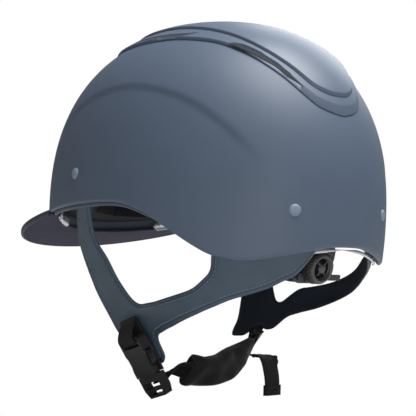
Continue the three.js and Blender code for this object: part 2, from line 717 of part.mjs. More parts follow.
place('cradle_plate', cradlePlate(), blackPlastic, cradle);
place('nape_pad', napePad(), blackFabric, cradle);
place('dial_housing', dialHousing(), blackPlastic, cradle);
place('dial_knob', dialKnob(), blackPlastic, cradle);
place('dial_pinion', dialPinion(), blackPlastic, cradle);
place('size_band_left', rackBand(1), blackPlastic, cradle);
place('size_band_right', rackBand(-1), blackPlastic, cradle);

place('anchor_webbing_left', anchorLoop(), blackFabric, buckle);
place('buckle_socket', buckleSocket(), blackPlastic, buckle);
place('buckle_plug', bucklePlug(), blackPlastic, buckle);
place('release_arm_front', releaseArm(1), blackPlastic, buckle);
place('release_arm_rear', releaseArm(-1), blackPlastic, buckle);
place('chin_webbing', webbing(chinRoute, webbingWidth, webbingThickness, 30), blackFabric);
place('chin_pad', chinPad(), blackFabric);
place('strap_slider', strapSlider(), blackPlastic);
place('strap_tail', webbing(tailRoute, webbingWidth, webbingThickness, 14, 0, 0.86), blackFabric);
place('tail_hem', webbing(tailRoute, webbingWidth + 1.6, 4, 3, 0.875, 1), blackFabric);

export default helmet;
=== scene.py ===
import math

import bmesh
import bpy
import numpy as np
from mathutils import Matrix, Vector
from mathutils.geometry import delaunay_2d_cdt


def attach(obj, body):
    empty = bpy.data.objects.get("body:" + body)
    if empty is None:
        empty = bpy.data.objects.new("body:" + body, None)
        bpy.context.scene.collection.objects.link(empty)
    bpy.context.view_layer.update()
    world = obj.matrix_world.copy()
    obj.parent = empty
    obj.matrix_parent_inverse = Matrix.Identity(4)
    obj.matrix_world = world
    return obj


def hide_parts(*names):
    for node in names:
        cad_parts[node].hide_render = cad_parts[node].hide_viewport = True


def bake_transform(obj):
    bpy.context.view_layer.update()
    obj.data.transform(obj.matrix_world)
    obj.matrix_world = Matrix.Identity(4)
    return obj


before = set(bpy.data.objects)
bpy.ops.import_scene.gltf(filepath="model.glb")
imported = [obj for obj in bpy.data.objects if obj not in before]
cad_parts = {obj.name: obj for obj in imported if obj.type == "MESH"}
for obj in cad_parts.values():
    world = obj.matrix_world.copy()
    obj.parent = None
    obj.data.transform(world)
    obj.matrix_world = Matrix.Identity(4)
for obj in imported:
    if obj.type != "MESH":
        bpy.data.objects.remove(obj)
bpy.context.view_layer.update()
mm = 0.001

# Everything below is worked out in millimetres in the helmet's frame: +Z up, peak to -Y, wearer's left +X.

# Main form of the shell, shared by every piece that follows it.
form = {"side": 108.3, "rear": 138.0, "front": 150.0, "top": 136.0, "power": 2.33, "tuck": 0.027,
        "skirt": 45.0}
rimStations = [(-200, -28), (-150, -16.6), (-130, -11.6), (-105, -5.8), (-62, -1.3), (-26, 1.5), (0, 2.9),
               (20, 2),
               (38, -3), (52, -10.3), (63, -17), (75, -24.6), (86, -30.8), (97, -33.7), (104, -34.1),
               (112, -32.7),
               (121, -29.8), (130, -25.6), (138, -22), (170, -22)]


def easing(t):
    u = np.clip(t, 0, 1)
    return u * u * (3 - 2 * u)


def catmull(points, count, closed=False):
    # Evenly spaced samples on a smooth curve through the points.
    p = np.array(points, float)
    n = len(p)
    if closed:
        ring = np.vstack([p[-1], p, p[0], p[1]])
    else:
        ring = np.vstack([2 * p[0] - p[1], p, 2 * p[-1] - p[-2]])
    fine = []
    segments = n if closed else n - 1
    t = np.linspace(0, 1, 25)[:-1][:, None]
    for i in range(segments):
        a, b, c, d = ring[i], ring[i + 1], ring[i + 2], ring[i + 3]
        fine.append(0.5 * (2 * b + (c - a) * t + (2 * a - 5 * b + 4 * c - d) * t ** 2
                           + (3 * b - a - 3 * c + d) * t ** 3))
    fine.append(p[:1] if closed else p[-1:])
    line = np.vstack(fine)
    steps = np.r_[0, np.cumsum(np.linalg.norm(np.diff(line, axis=0), axis=1))]
    want = np.linspace(0, steps[-1], count + 1 if closed else count)
    out = np.stack([np.interp(want, steps, line[:, k]) for k in range(line.shape[1])], axis=1)
    return out[:-1] if closed else out


rimCurve = catmull(rimStations, 400)


def rimLevel(y):
    return np.interp(y, rimCurve[:, 0], rimCurve[:, 1])


def domePoint(bearing, level, inset=(0, 0, 0, 0)):
    # level above 0 is an angle share of the dome, below 0 it is depth down the skirt in units of 200 mm.
    side, rear, front, top = inset
    bearing, level = np.asarray(bearing, float), np.asarray(level, float)
    up = np.clip(level, 0, 1) * math.pi / 2
    radius = np.where(level > 0, np.cos(up) ** (2 / form["power"]),
                      1 - form["tuck"] * (level * 200 / form["skirt"]) ** 2)
    z = np.where(level > 0, np.sin(up) ** (2 / form["power"]) * (form["top"] - top), level * 200)
    across = np.cos(bearing)
    along = np.sin(bearing)
    reach = np.where(along > 0, form["rear"] - rear, form["front"] - front)
    return np.stack([across * radius * (form["side"] - side), along * radius * reach, z], axis=-1)


def domeHeight(x, y, inset=0.0):
    reach = np.where(np.asarray(y) > 0, form["rear"], form["front"]) - inset
    radius = np.sqrt((x / (form["side"] - inset)) ** 2 + (y / reach) ** 2)
    return (form["top"] - inset) * np.clip(1 - radius ** form["power"], 0, 1) ** (1 / form["power"])


def levelOf(z):
    # The level whose point on the outer face has that height.
    z = np.asarray(z, float)
    share = np.clip(z / form["top"], 0, 1) ** (form["power"] / 2)
    return np.where(z > 0, np.arcsin(share) * 2 / math.pi, z / 200)


def unit(v):
    return v / np.maximum(np.linalg.norm(v, axis=-1, keepdims=True), 1e-9)


def addObject(name, data):
    made = bpy.data.objects.new(name, data)
    bpy.context.scene.collection.objects.link(made)
    return made


def bake(piece):
    # The modifiers' result becomes the piece's own mesh.
    made = bpy.data.meshes.new_from_object(piece.evaluated_get(bpy.context.evaluated_depsgraph_get()))
    piece.modifiers.clear()
    piece.data = made


def meshPiece(name, points, faces, material, floats=None):
    mesh = bpy.data.meshes.new(name)
    mesh.from_pydata([tuple(p) for p in np.asarray(points) * mm], [],
                     [tuple(int(i) for i in f) for f in faces])
    mesh.validate()
    for key, values in (floats or {}).items():
        mesh.attributes.new(key, "FLOAT", "POINT").data.foreach_set("value", np.asarray(values, np.float32))
    mesh.update()
    piece = addObject(name, mesh)
    for m in material if isinstance(material, (list, tuple)) else [material]:
        mesh.materials.append(m)
    mesh.shade_smooth()
    return piece


def gridFaces(rows, cols, closed=False, offset=0):
    faces = []
    last = cols if closed else cols - 1
    for i in range(rows - 1):
        for j in range(last):
            k = (j + 1) % cols
            here, below = offset + i * cols, offset + (i + 1) * cols
            faces.append((here + j, here + k, below + k, below + j))
    return faces


def outwards(piece):
    # Faces turned so that a closed piece encloses a positive volume.
    work = bmesh.new()
    work.from_mesh(piece.data)
    bmesh.ops.recalc_face_normals(work, faces=work.faces)
    if work.calc_volume(signed=True) < 0:
        bmesh.ops.reverse_faces(work, faces=work.faces)
    work.to_mesh(piece.data)
    work.free()
    piece.data.update()
    return piece


def squareTo(v, run):
    # The part of each vector that lies across the run, at unit length.
    return unit(v - (v * run).sum(1)[:, None] * run)


def loopRun(loop):
    return unit(np.roll(loop, -1, 0) - np.roll(loop, 1, 0))


def pointedRings(name, rings, tips, finish):
    # A stack of rings closed by one point at each end.
    rows, n = rings.shape[:2]
    count, last = rows * n, (rows - 1) * n
    faces = gridFaces(rows, n, True) + [(count, (j + 1) % n, j) for j in range(n)]
    faces += [(count + 1, last + j, last + (j + 1) % n) for j in range(n)]
    return outwards(meshPiece(name, np.vstack([rings.reshape(-1, 3), tips]), faces, finish))


def flatRings(name, rings, finish):
    # A stack of rings closed by a flat face at each end.
    rows, n = rings.shape[:2]
    faces = gridFaces(rows, n, True) + [tuple(range(n)), tuple((rows - 1) * n + j for j in range(n))]
    return outwards(meshPiece(name, rings.reshape(-1, 3), faces, finish))


def sweep(name, path, section, material, normals, scales=None):
    # A section (u across, v along the normal) carried along a path; normals say where v points.
    path = np.asarray(path, float)
    run = unit(np.gradient(path, axis=0))
    normals = squareTo(np.asarray(normals, float), run)
    across = np.cross(run, normals)
    n, m = len(path), len(section)
    scales = np.ones(n) if scales is None else np.asarray(scales)
    shape = across[:, None] * section[None, :, :1] + normals[:, None] * section[None, :, 1:2]
    points = path[:, None] + shape * scales[:, None, None]
    faces = gridFaces(n, m, True) + [tuple(range(m))[::-1], tuple((n - 1) * m + j for j in range(m))]
    return outwards(meshPiece(name, points.reshape(-1, 3), faces, material))


def roundSection(width, height, power=2.6, count=20):
    a = np.linspace(0, 2 * math.pi, count, endpoint=False)
    c, s = np.cos(a), np.sin(a)
    u = np.sign(c) * np.abs(c) ** (2 / power) * width / 2
    return np.stack([u, np.sign(s) * np.abs(s) ** (2 / power) * height / 2], axis=1)


def bevelled(piece, width, segments=3):
    edge = piece.modifiers.new("edge", "BEVEL")
    edge.width = width * mm
    edge.segments = segments
    edge.limit_method = "ANGLE"
    edge.angle_limit = math.radians(35)
    edge.harden_normals = True
    piece.data.shade_smooth()


def paint(piece, material):
    piece.data.materials.clear()
    piece.data.materials.append(material)


# ---- materials: shared effects first


def nodeGroup(name, inputs, outputs):
    group = bpy.data.node_groups.new(name, "ShaderNodeTree")
    for label, kind, value in inputs:
        socket = group.interface.new_socket(label, in_out="INPUT", socket_type="NodeSocket" + kind)
        if value is not None:
            socket.default_value = value
    for label, kind in outputs:
        group.interface.new_socket(label, in_out="OUTPUT", socket_type="NodeSocket" + kind)
    return group, group.nodes.new("NodeGroupInput"), group.nodes.new("NodeGroupOutput")


def setInputs(node, values):
    for socket, value in values.items():
        node.inputs[socket].default_value = value
    return node


def addNode(tree, kind, values={}, **settings):
    made = tree.nodes.new(kind)
    for key, value in settings.items():
        setattr(made, key, value)
    return setInputs(made, values)


def wire(tree, *runs):
    # Each run joins one node's output to another node's input.
    for source, output, target, entry in runs:
        tree.links.new(source.outputs[output], target.inputs[entry])


def makeGrain():
    # Fine surface relief from a noise, as a bumped normal.
    values = [("Scale", "Float", 400.0), ("Strength", "Float", 0.1), ("Distance", "Float", 0.0002)]
    values.append(("Normal", "Vector", None))
    group, start, end = nodeGroup("surfaceGrain", values, [("Normal", "Vector")])
    place = addNode(group, "ShaderNodeTexCoord")
    fine = addNode(group, "ShaderNodeTexNoise", {"Detail": 4})
    bump = addNode(group, "ShaderNodeBump")
    wire(group, (place, "Object", fine, "Vector"), (start, "Scale", fine, "Scale"),
         (start, "Strength", bump, "Strength"), (start, "Distance", bump, "Distance"),
         (fine, "Fac", bump, "Height"), (start, "Normal", bump, "Normal"), (bump, "Normal", end, "Normal"))
    return group


def makeTint():
    # A colour that drifts a little, so no surface is perfectly even.
    values = [("Color", "Color", (0.5, 0.5, 0.5, 1)), ("Scale", "Float", 20.0), ("Amount", "Float", 0.1)]
    group, start, end = nodeGroup("toneDrift", values, [("Color", "Color")])
    place = addNode(group, "ShaderNodeTexCoord")
    drift = addNode(group, "ShaderNodeTexNoise", {"Detail": 3})
    span = addNode(group, "ShaderNodeMapRange", {"From Min": 0.3, "From Max": 0.7})
    low = addNode(group, "ShaderNodeMath", {0: 1}, operation="SUBTRACT")
    high = addNode(group, "ShaderNodeMath", {0: 1}, operation="ADD")
    shade = addNode(group, "ShaderNodeVectorMath", operation="SCALE")
    wire(group, (place, "Object", drift, "Vector"), (start, "Scale", drift, "Scale"),
         (start, "Amount", low, 1), (start, "Amount", high, 1), (drift, "Fac", span, "Value"),
         (low, 0, span, "To Min"), (high, 0, span, "To Max"), (start, "Color", shade, 0),
         (span, "Result", shade, "Scale"), (shade, "Vector", end, "Color"))
    return group


grainGroup = makeGrain()
tintGroup = makeTint()


def material(name, color, roughness, grain, relief, depth, drift, driftScale, specular, metallic=0,
             sheen=0):
    # Grain and drift scales are counts per metre, and depth is in millimetres.
    made = bpy.data.materials.new(name)
    made.use_nodes = True
    tree = made.node_tree
    surface = setInputs(tree.nodes["Principled BSDF"],
                        {"Roughness": roughness, "Metallic": metallic, "Specular IOR Level": specular})
    if sheen:
        setInputs(surface, {"Sheen Weight": sheen, "Sheen Roughness": 0.4})
    tint = addNode(tree, "ShaderNodeGroup", {"Color": (*color, 1), "Scale": driftScale, "Amount": drift},
                   node_tree=tintGroup)
    fine = addNode(tree, "ShaderNodeGroup", {"Scale": grain, "Strength": relief, "Distance": depth * mm},
                   node_tree=grainGroup)
    wire(tree, (tint, "Color", surface, "Base Color"), (fine, "Normal", surface, "Normal"))
    made.diffuse_color = (*color, 1)
    return made


def seamTintAndShade(made, color, at=2.5, width=0.45):
    # Tints a line at a set distance from the piece's edge, which the "edge" attribute gives in millimetres;
    # on the navy leather the dark line is painted shade in the seam groove.
    tree = made.node_tree
    surface = tree.nodes["Principled BSDF"]
    read = addNode(tree, "ShaderNodeAttribute", attribute_name="edge")
    away = addNode(tree, "ShaderNodeMath", {1: at}, operation="SUBTRACT")
    size = addNode(tree, "ShaderNodeMath", operation="ABSOLUTE")
    line = addNode(tree, "ShaderNodeMapRange", {"From Min": 0, "From Max": width, "To Min": 1, "To Max": 0},
                   interpolation_type="SMOOTHSTEP")
    mix = addNode(tree, "ShaderNodeMix", {"B": (*color, 1)}, data_type="RGBA")
    tree.links.new(surface.inputs["Base Color"].links[0].from_socket, mix.inputs["A"])
    wire(tree, (read, "Fac", away, 0), (away, 0, size, 0), (size, 0, line, "Value"),
         (line, "Result", mix, "Factor"), (mix, "Result", surface, "Base Color"))


shellPaint = material("mattNavyShell", (0.072, 0.100, 0.146), 0.52, 900, 0.12, 0.1, 0.02, 25, 0.42)
platePaint = material("satinNavyPlate", (0.077, 0.107, 0.154), 0.42, 900, 0.08, 0.1, 0.02, 25, 0.45)
leather = material("navyLeather", (0.050, 0.077, 0.108), 0.55, 520, 0.35, 0.3, 0.10, 60, 0.4)
# Painted shade: a dark line along the leather's seam groove, where the groove's shade falls.
seamTintAndShade(leather, (0.012, 0.018, 0.028))
liningCloth = material("blackLining", (0.010, 0.011, 0.016), 0.9, 900, 0.5, 0.3, 0.15, 25, 0.2)
innerLeather = material("harnessInnerCloth", (0.018, 0.024, 0.036), 0.8, 700, 0.4, 0.3, 0.15, 25, 0.3)
seamTintAndShade(innerLeather, (0.03, 0.04, 0.055))
peakCloth = material("peakCloth", (0.046, 0.046, 0.080), 0.85, 700, 0.4, 0.3, 0.10, 90, 0.25)
peakEdge = material("peakBinding", (0.035, 0.037, 0.058), 0.6, 600, 0.3, 0.2, 0.05, 25, 0.4)
blackPlastic = material("blackPlastic", (0.022, 0.022, 0.024), 0.42, 500, 0.12, 0.2, 0.03, 25, 0.5)
dialPlastic = material("dialPlastic", (0.060, 0.059, 0.057), 0.36, 500, 0.12, 0.2, 0.04, 25, 0.5)
webCloth = material("blackWebbing", (0.017, 0.017, 0.019), 0.85, 1400, 0.6, 0.3, 0.12, 200, 0.3)
padCloth = material("chinPadCloth", (0.020, 0.020, 0.022), 0.95, 1100, 0.6, 0.4, 0.15, 120, 0.2, sheen=0.3)
# Painted highlight: bright silver for the liner's inner rim, standing for the highlights along it.
rimPaintedHighlight = material("linerRimPaintedHighlight", (0.55, 0.57, 0.60), 0.22, 300, 0.25, 0.4, 0.08, 25, 0.5,
                      metallic=0.6)
rivetCap = material("rivetCap", (0.17, 0.22, 0.29), 0.45, 700, 0.08, 0.2, 0.02, 25, 0.5)
washerSteel = material("washerSteel", (0.55, 0.55, 0.56), 0.35, 300, 0.1, 0.2, 0.05, 25, 0.5, metallic=1)
# Near-black: partly the vent mesh's own dark colour and partly painted shade, in the vent openings and in
# the dial's recess.
darkToneAndPaintedShade = material("darkToneWithPaintedShade", (0.008, 0.010, 0.014), 0.8, 600, 0.2, 0.2, 0.05, 25, 0.06)
meshWire = material("ventMeshWire", (0.065, 0.078, 0.095), 0.6, 600, 0.1, 0.2, 0.05, 25, 0.2)
foamSkin = material("linerFoam", (0.007, 0.007, 0.009), 0.85, 300, 0.3, 0.4, 0.12, 25, 0.3)
threadNavy = material("navyThread", (0.11, 0.15, 0.20), 0.6, 900, 0.2, 0.2, 0.05, 25, 0.5)
print("materials ready")

# ---- stitches and other rows: a small piece laid along a curve by a geometry node tree


def rowTree(name, spacing, size, seed):
    tree = bpy.data.node_groups.new(name, "GeometryNodeTree")
    face = tree.interface
    face.new_socket("Geometry", in_out="INPUT", socket_type="NodeSocketGeometry")
    for label, value in zip(("Spacing", "Length", "Width", "Height"), (spacing, *size)):
        face.new_socket(label, in_out="INPUT", socket_type="NodeSocketFloat").default_value = value * mm
    face.new_socket("Turn", in_out="INPUT", socket_type="NodeSocketFloat").default_value = 0.0
    face.new_socket("Seed", in_out="INPUT", socket_type="NodeSocketInt").default_value = seed
    face.new_socket("Material", in_out="INPUT", socket_type="NodeSocketMaterial")
    face.new_socket("Geometry", in_out="OUTPUT", socket_type="NodeSocketGeometry")
    start, end = addNode(tree, "NodeGroupInput"), addNode(tree, "NodeGroupOutput")
    curve = addNode(tree, "GeometryNodeMeshToCurve")
    points = addNode(tree, "GeometryNodeCurveToPoints", mode="LENGTH")
    lie = addNode(tree, "GeometryNodeInputNamedAttribute", {"Name": "lie"}, data_type="FLOAT_VECTOR")
    wide = addNode(tree, "GeometryNodeInputNamedAttribute", {"Name": "wide"}, data_type="FLOAT")
    alignNormal = addNode(tree, "FunctionNodeAlignRotationToVector", axis="Z")
    alignRun = addNode(tree, "FunctionNodeAlignRotationToVector", axis="X", pivot_axis="Z")
    spin = addNode(tree, "FunctionNodeRotateRotation", rotation_space="LOCAL")
    turnBy = addNode(tree, "FunctionNodeAxisAngleToRotation", {"Axis": (0, 0, 1)})
    bar = addNode(tree, "GeometryNodeMeshCube")
    dims = addNode(tree, "ShaderNodeCombineXYZ")
    scale = addNode(tree, "ShaderNodeCombineXYZ", {"Z": 1, "X": 1})
    vary = addNode(tree, "FunctionNodeRandomValue", {2: 0.94, 3: 1.06}, data_type="FLOAT")
    copies = addNode(tree, "GeometryNodeInstanceOnPoints")
    real = addNode(tree, "GeometryNodeRealizeInstances")
    setMaterial = addNode(tree, "GeometryNodeSetMaterial")
    grow = addNode(tree, "ShaderNodeMath", operation="MULTIPLY")
    wire(tree, (start, "Geometry", curve, 0), (curve, 0, points, "Curve"),
         (start, "Spacing", points, "Length"),
         (lie, "Attribute", alignNormal, "Vector"), (alignNormal, 0, alignRun, "Rotation"),
         (points, "Tangent", alignRun, "Vector"), (start, "Turn", turnBy, "Angle"),
         (alignRun, 0, spin, "Rotation"), (turnBy, 0, spin, "Rotate By"),
         (start, "Length", dims, "X"), (start, "Width", dims, "Y"), (start, "Height", dims, "Z"),
         (dims, 0, bar, "Size"), (start, "Seed", vary, "Seed"), (wide, "Attribute", grow, 0),
         (vary, 1, grow, 1), (grow, 0, scale, "Y"), (points, "Points", copies, "Points"),
         (bar, "Mesh", copies, "Instance"), (spin, 0, copies, "Rotation"), (scale, 0, copies, "Scale"),
         (copies, "Instances", real, "Geometry"), (real, "Geometry", setMaterial, "Geometry"),
         (start, "Material", setMaterial, "Material"), (setMaterial, "Geometry", end, "Geometry"))
    return tree


def layRow(name, path, normals, tree, finish, closed=False, widths=None, turn=0.0):
    # The row is made along the path, then kept as a plain mesh.
    path = np.asarray(path, float)
    mesh = bpy.data.meshes.new(name)
    edges = [(i, i + 1) for i in range(len(path) - 1)] + ([(len(path) - 1, 0)] if closed else [])
    mesh.from_pydata([tuple(p) for p in path * mm], edges, [])
    lie = mesh.attributes.new("lie", "FLOAT_VECTOR", "POINT")
    lie.data.foreach_set("vector", np.asarray(normals, np.float32).ravel())
    wide = mesh.attributes.new("wide", "FLOAT", "POINT")
    wide.data.foreach_set("value", np.asarray(np.ones(len(path)) if widths is None else widths, np.float32))
    guide = addObject(name, mesh)
    build = guide.modifiers.new("row", "NODES")
    build.node_group = tree
    for item in tree.interface.items_tree:
        if item.in_out == "INPUT" and item.name == "Turn":
            build[item.identifier] = turn
        if item.in_out == "INPUT" and item.name == "Material":
            build[item.identifier] = finish
    bake(guide)
    paint(guide, finish)
    return guide


stitchTree = rowTree("stitchRow", 3.2, (2.2, 0.55, 0.45), 4)

# ---- outer shell: crown to rim on each bearing, with the soft step over the ears

shell = {"wall": 3.0, "bearings": 288, "rows": 120, "innerRows": 30, "apex": 0.995, "stepDepth": 1.5,
         "stepWidth": 5.5, "edge": 0.9,
         "arc": [(-86, 55), (-76, 64), (-59, 72.5), (-40, 79), (-18, 83.4), (6, 85), (26, 83), (47, 78.2),
                 (66, 71), (80, 62.5), (93, 52.5), (106, 40), (112, 33)]}


def arcRecess(p):
    # The side panels under a high arc stand a little back from the crown's surface.
    arc = catmull(shell["arc"], 160)
    top = np.interp(p[..., 1], arc[:, 0], arc[:, 1])
    slope = np.interp(p[..., 1], arc[:, 0], np.gradient(arc[:, 1], arc[:, 0]))
    below = (top - p[..., 2]) / np.sqrt(1 + slope ** 2)
    ends = easing((p[..., 1] + 90) / 26) * (1 - easing((p[..., 1] - 88) / 34))
    back = easing(below / shell["stepWidth"] + 0.5) * (1 - easing((below - 12) / 62))
    return shell["stepDepth"] * ends * back * (np.abs(p[..., 0]) > 40)


def shellNormals(p):
    # Analytic outward direction of the dome.
    reach = np.where(p[..., 1] > 0, form["rear"], form["front"])
    z = np.maximum(p[..., 2], 0) / form["top"]
    return unit(np.stack([p[..., 0] / form["side"] ** 2, p[..., 1] / reach ** 2,
                          z ** (form["power"] - 1) / form["top"]], axis=-1))


def rimLevels(bearings, lift=0.0, inset=(0, 0, 0, 0)):
    level = np.full(len(bearings), -0.05)
    for _ in range(12):
        y = domePoint(bearings, level, inset)[:, 1]
        z = rimLevel(y) + lift
        share = np.clip(z / (form["top"] - inset[3]), 0, 1) ** (form["power"] / 2)
        level = np.where(z > 0, np.arcsin(share) * 2 / math.pi, z / 200)
    return level


def domeSheet(bearings, topLevel, lowLevels, rows, inset=(0, 0, 0, 0)):
    w = np.linspace(0, 1, rows)[:, None]
    level = topLevel + (lowLevels[None, :] - topLevel) * w
    return domePoint(np.broadcast_to(bearings, level.shape), level, inset)


def outerShell():
    bearings = np.linspace(0, 2 * math.pi, shell["bearings"], endpoint=False)
    low = rimLevels(bearings)
    outer = domeSheet(bearings, shell["apex"], low, shell["rows"])
    outer = outer - shellNormals(outer) * arcRecess(outer)[..., None]
    wall = shell["wall"]
    lowInner = rimLevels(bearings, 0, (wall,) * 4)
    inner = domeSheet(bearings, shell["apex"], lowInner, shell["innerRows"], (wall,) * 4)
    edge = shell["edge"]
    outer[-1] += [0, 0, edge]
    roll = []
    for t in (0.1, 0.3, 0.7, 0.9):
        drop = edge * math.sin(math.pi * min(max(t, 0.12), 0.88))
        roll.append(outer[-1] * (1 - t) + inner[-1] * t - np.array([0, 0, drop]))
    rows = np.concatenate([outer, np.array(roll), inner[::-1]])
    return pointedRings("shell", rows, [[0, 0, form["top"]], [0, 0, form["top"] - wall]], shellPaint)


shellPiece = outerShell()
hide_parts("outer_shell")
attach(shellPiece, "helmet")
print("shell ready")

# ---- crown: two stepped plates with bevelled edges, and the leaf-shaped vents cut through them

crown = {
    "bevelZone": (70, 45), "sunk": 0.5, "innerSeat": 1.9,
    "cut": {"below": 0.4, "wall": 2.2, "mouth": 3.4, "flare": 1.0, "over": 8},
    "mesh": {"height": 1.25, "thick": 0.35, "wires": 1.6, "rows": 9},
    "outer": {"proud": 2.2, "bevel": 1.3, "rearBevel": 3.4, "count": 260,
              "plan": [(126, 0), (125, 8), (123, 14.8), (119.6, 21.2), (112, 28.6), (100, 35.9), (86, 42),
                       (70, 46.8), (49, 52), (28, 56.6), (-2, 59.8), (-26, 58.8), (-44, 55.2), (-64, 47),
                       (-84, 34.5), (-100, 19), (-106, 0)]},
    "inner": {"proud": 4.0, "bevel": 1.0, "rearBevel": 1.4, "count": 240,
              "plan": [(119.6, 0), (119, 7), (116.8, 13.4), (113, 19.2), (107, 23.7), (94, 30.4),
                       (79, 35.8), (60, 39.9), (38, 42.8), (14, 44), (-12, 43), (-40, 38.2), (-64, 29.5),
                       (-82, 18), (-91, 0)]},
    "vents": {"rear": [(111, 26.4, 0.3), (103.4, 31.4, 1.2), (95, 35, 1.6), (86, 38.9, 2.1), (77, 42, 2.3),
                       (68, 44.8, 2.2), (63, 46.8, 1.3), (60, 48.4, 0.4)],
              "front": [(29, 49.0, 0.4), (20, 53.9, 1.9), (8, 56.1, 2.2), (-6, 56.7, 2.1), (-20, 55.8, 1.8),
                        (-34, 52.8, 1.1), (-42, 50.0, 0.3)]},
}


def mirroredPlan(stations):
    left = [(x, y) for y, x in stations]
    return left + [(-x, y) for x, y in left[-2:0:-1]]


def plateRing(plan, inset):
    # The plan's outline moved inwards.
    run = loopRun(plan)
    side = np.stack([-run[:, 1], run[:, 0]], axis=1)
    centre = -plan * [1, 0.3]
    flip = np.sign((side * centre).sum(1).mean())
    return plan + side * flip * inset


def onDome(plan, proud):
    # Plan points raised onto the dome, then moved out along its normal.
    p = np.column_stack([plan, domeHeight(plan[:, 0], plan[:, 1])])
    return p + shellNormals(p) * proud


def crownPlate(name, spec, seat, finish):
    plan = catmull(mirroredPlan(spec["plan"]), spec["count"], closed=True)
    h = spec["proud"]
    first, length = crown["bevelZone"]
    rearShare = easing((plan[:, 1:] - first) / length)
    b = spec["bevel"] + (spec["rearBevel"] - spec["bevel"]) * rearShare
    rise = h - seat
    rings = [onDome(plan, seat - crown["sunk"])]
    for share, climb in ((0, 0.3), (0.06, 0.38), (0.82, 0.94), (0.9, 0.985)):
        rings.append(onDome(plateRing(plan, b * share), seat + climb * rise))
    edge = plateRing(plan, b)
    spine = np.column_stack([np.zeros(len(edge)), edge[:, 1] * 0.62])
    for f in np.linspace(0, 0.985, 34):
        rings.append(onDome(edge * (1 - f) + spine * f, h))
    rings = np.array(rings)
    n = len(plan)
    points = rings.reshape(-1, 3)
    faces = gridFaces(len(rings), n, True)
    last = (len(rings) - 1) * n
    half = n // 2
    faces += [(last + j, last + j + 1, last + (n - j - 1) % n, last + (n - j) % n) for j in range(1, half)]
    faces += [(last, last + 1, last + n - 1)]
    under = onDome(plan * 0.97, seat - crown["sunk"])
    base = len(points)
    points = np.vstack([points, under])
    faces += [(base + j, base + (j + 1) % n, (j + 1) % n, j) for j in range(n)]
    return outwards(meshPiece(name, points, faces, finish))


def ventOutline(stations, side, grow=0.0):
    s = catmull(stations, 40)
    half = np.maximum(s[:, 2] + grow, 0.05)
    left = np.column_stack([s[:, 1] - half, s[:, 0]])
    right = np.column_stack([s[:, 1] + half, s[:, 0]])
    loop = np.vstack([left, right[::-1]])
    return loop * [side, 1]


def ventCutter(stations, side):
    cut = crown["cut"]
    loop = ventOutline(stations, side)
    flare = ventOutline(stations, side, cut["flare"])
    wide = onDome(flare, cut["mouth"])
    rings = [onDome(loop, -cut["below"]), onDome(loop, cut["wall"]), wide, wide + [0, 0, cut["over"]]]
    return flatRings("cutter", np.array(rings), darkToneAndPaintedShade)


def cutAway(piece, cutters):
    for cutter in cutters:
        cut = piece.modifiers.new("cut", "BOOLEAN")
        cut.operation = "DIFFERENCE"
        cut.solver = "EXACT"
        cut.object = cutter
    bake(piece)


outerPlate = crownPlate("crownPlateOuter", crown["outer"], 0.0, shellPaint)
innerPlate = crownPlate("crownPlateInner", crown["inner"], crown["innerSeat"], platePaint)
ventList = [(which, side) for which in ("rear", "front") for side in (1, -1)]
cutters = [ventCutter(crown["vents"][which], side) for which, side in ventList]
cutAway(outerPlate, cutters)
for cutter in cutters:
    bpy.data.objects.remove(cutter)
crownPieces = ((outerPlate, "crown_plate_outer", "matt_navy_shell"),
               (innerPlate, "crown_plate_inner", "satin_navy_plate"))
for piece, node, finish in crownPieces:
    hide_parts(node)
    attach(piece, "helmet")

ventTree = rowTree("ventGrille", 1.3, (0.42, 1.7, 0.4), 7)


def ventPanel(which, side):
    spec = crown["mesh"]
    label = f"{which}_{'left' if side > 0 else 'right'}"
    s = catmull(crown["vents"][which], 60)
    rows, n = spec["rows"], len(s)
    top = []
    for share in np.linspace(-1, 1, rows):
        plan = np.column_stack([(s[:, 1] + share * np.maximum(s[:, 2] + 0.5, 0.1)) * side, s[:, 0]])
        top.append(onDome(plan, spec["height"]))
    top = np.array(top)
    low = top - shellNormals(top) * spec["thick"]
    points = np.vstack([top.reshape(-1, 3), low.reshape(-1, 3)])
    count = rows * n
    faces = gridFaces(rows, n) + [tuple(reversed(f)) for f in gridFaces(rows, n, offset=count)]
    rim = list(range(n)) + [i * n + n - 1 for i in range(1, rows)]
    rim += [(rows - 1) * n + j for j in range(n - 2, -1, -1)] + [i * n for i in range(rows - 2, 0, -1)]
    faces += [(a, b, count + b, count + a) for a, b in zip(rim, rim[1:] + rim[:1])]
    # The panel's near-black colour is partly the mesh's own colour and partly painted shade inside the vent
    # opening.
    panel = outwards(meshPiece(f"ventPanel_{label}", points, faces, darkToneAndPaintedShade))
    line = onDome(np.column_stack([s[:, 1] * side, s[:, 0]]), spec["wires"])
    wires = layRow(f"ventWires_{label}", line, shellNormals(line), ventTree, meshWire,
                   widths=np.maximum(s[:, 2], 0.2), turn=0.35 * side)
    return panel, wires


for which, side in ventList:
    panel, wires = ventPanel(which, side)
    node = f"vent_mesh_{which}_{'left' if side > 0 else 'right'}"
    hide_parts(node)
    for piece in (panel, wires):
        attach(piece, "helmet")
print("crown ready")

# ---- rivet caps on the shell

rivets = {"radius": 4.2, "rise": 1.7, "count": 28,
          "places": {"rear_left": (42.7, 126.5, 0.7), "rear_right": (-42.7, 126.5, 0.7),
                     "front_left": (104, -37, 22.7), "front_right": (-104, -37, 22.7)}}


def framed(points, centre, out):
    # Points given as (u, v, out) placed on a surface spot.
    n = Vector(out).normalized()
    turn = n.to_track_quat("Z", "Y").to_matrix()
    return np.asarray(points) @ np.array(turn).T + np.asarray(centre)


def lathePoints(profile, count):
    a = np.linspace(0, 2 * math.pi, count, endpoint=False)
    return np.array([[(r * math.cos(t), r * math.sin(t), z) for t in a] for r, z in profile])


def latheSolid(name, profile, count, finish, centre, out):
    rings = framed(lathePoints(profile[1:-1], count), centre, out)
    tips = framed([[0, 0, profile[0][1]], [0, 0, profile[-1][1]]], centre, out)
    return pointedRings(name, rings, tips, finish)


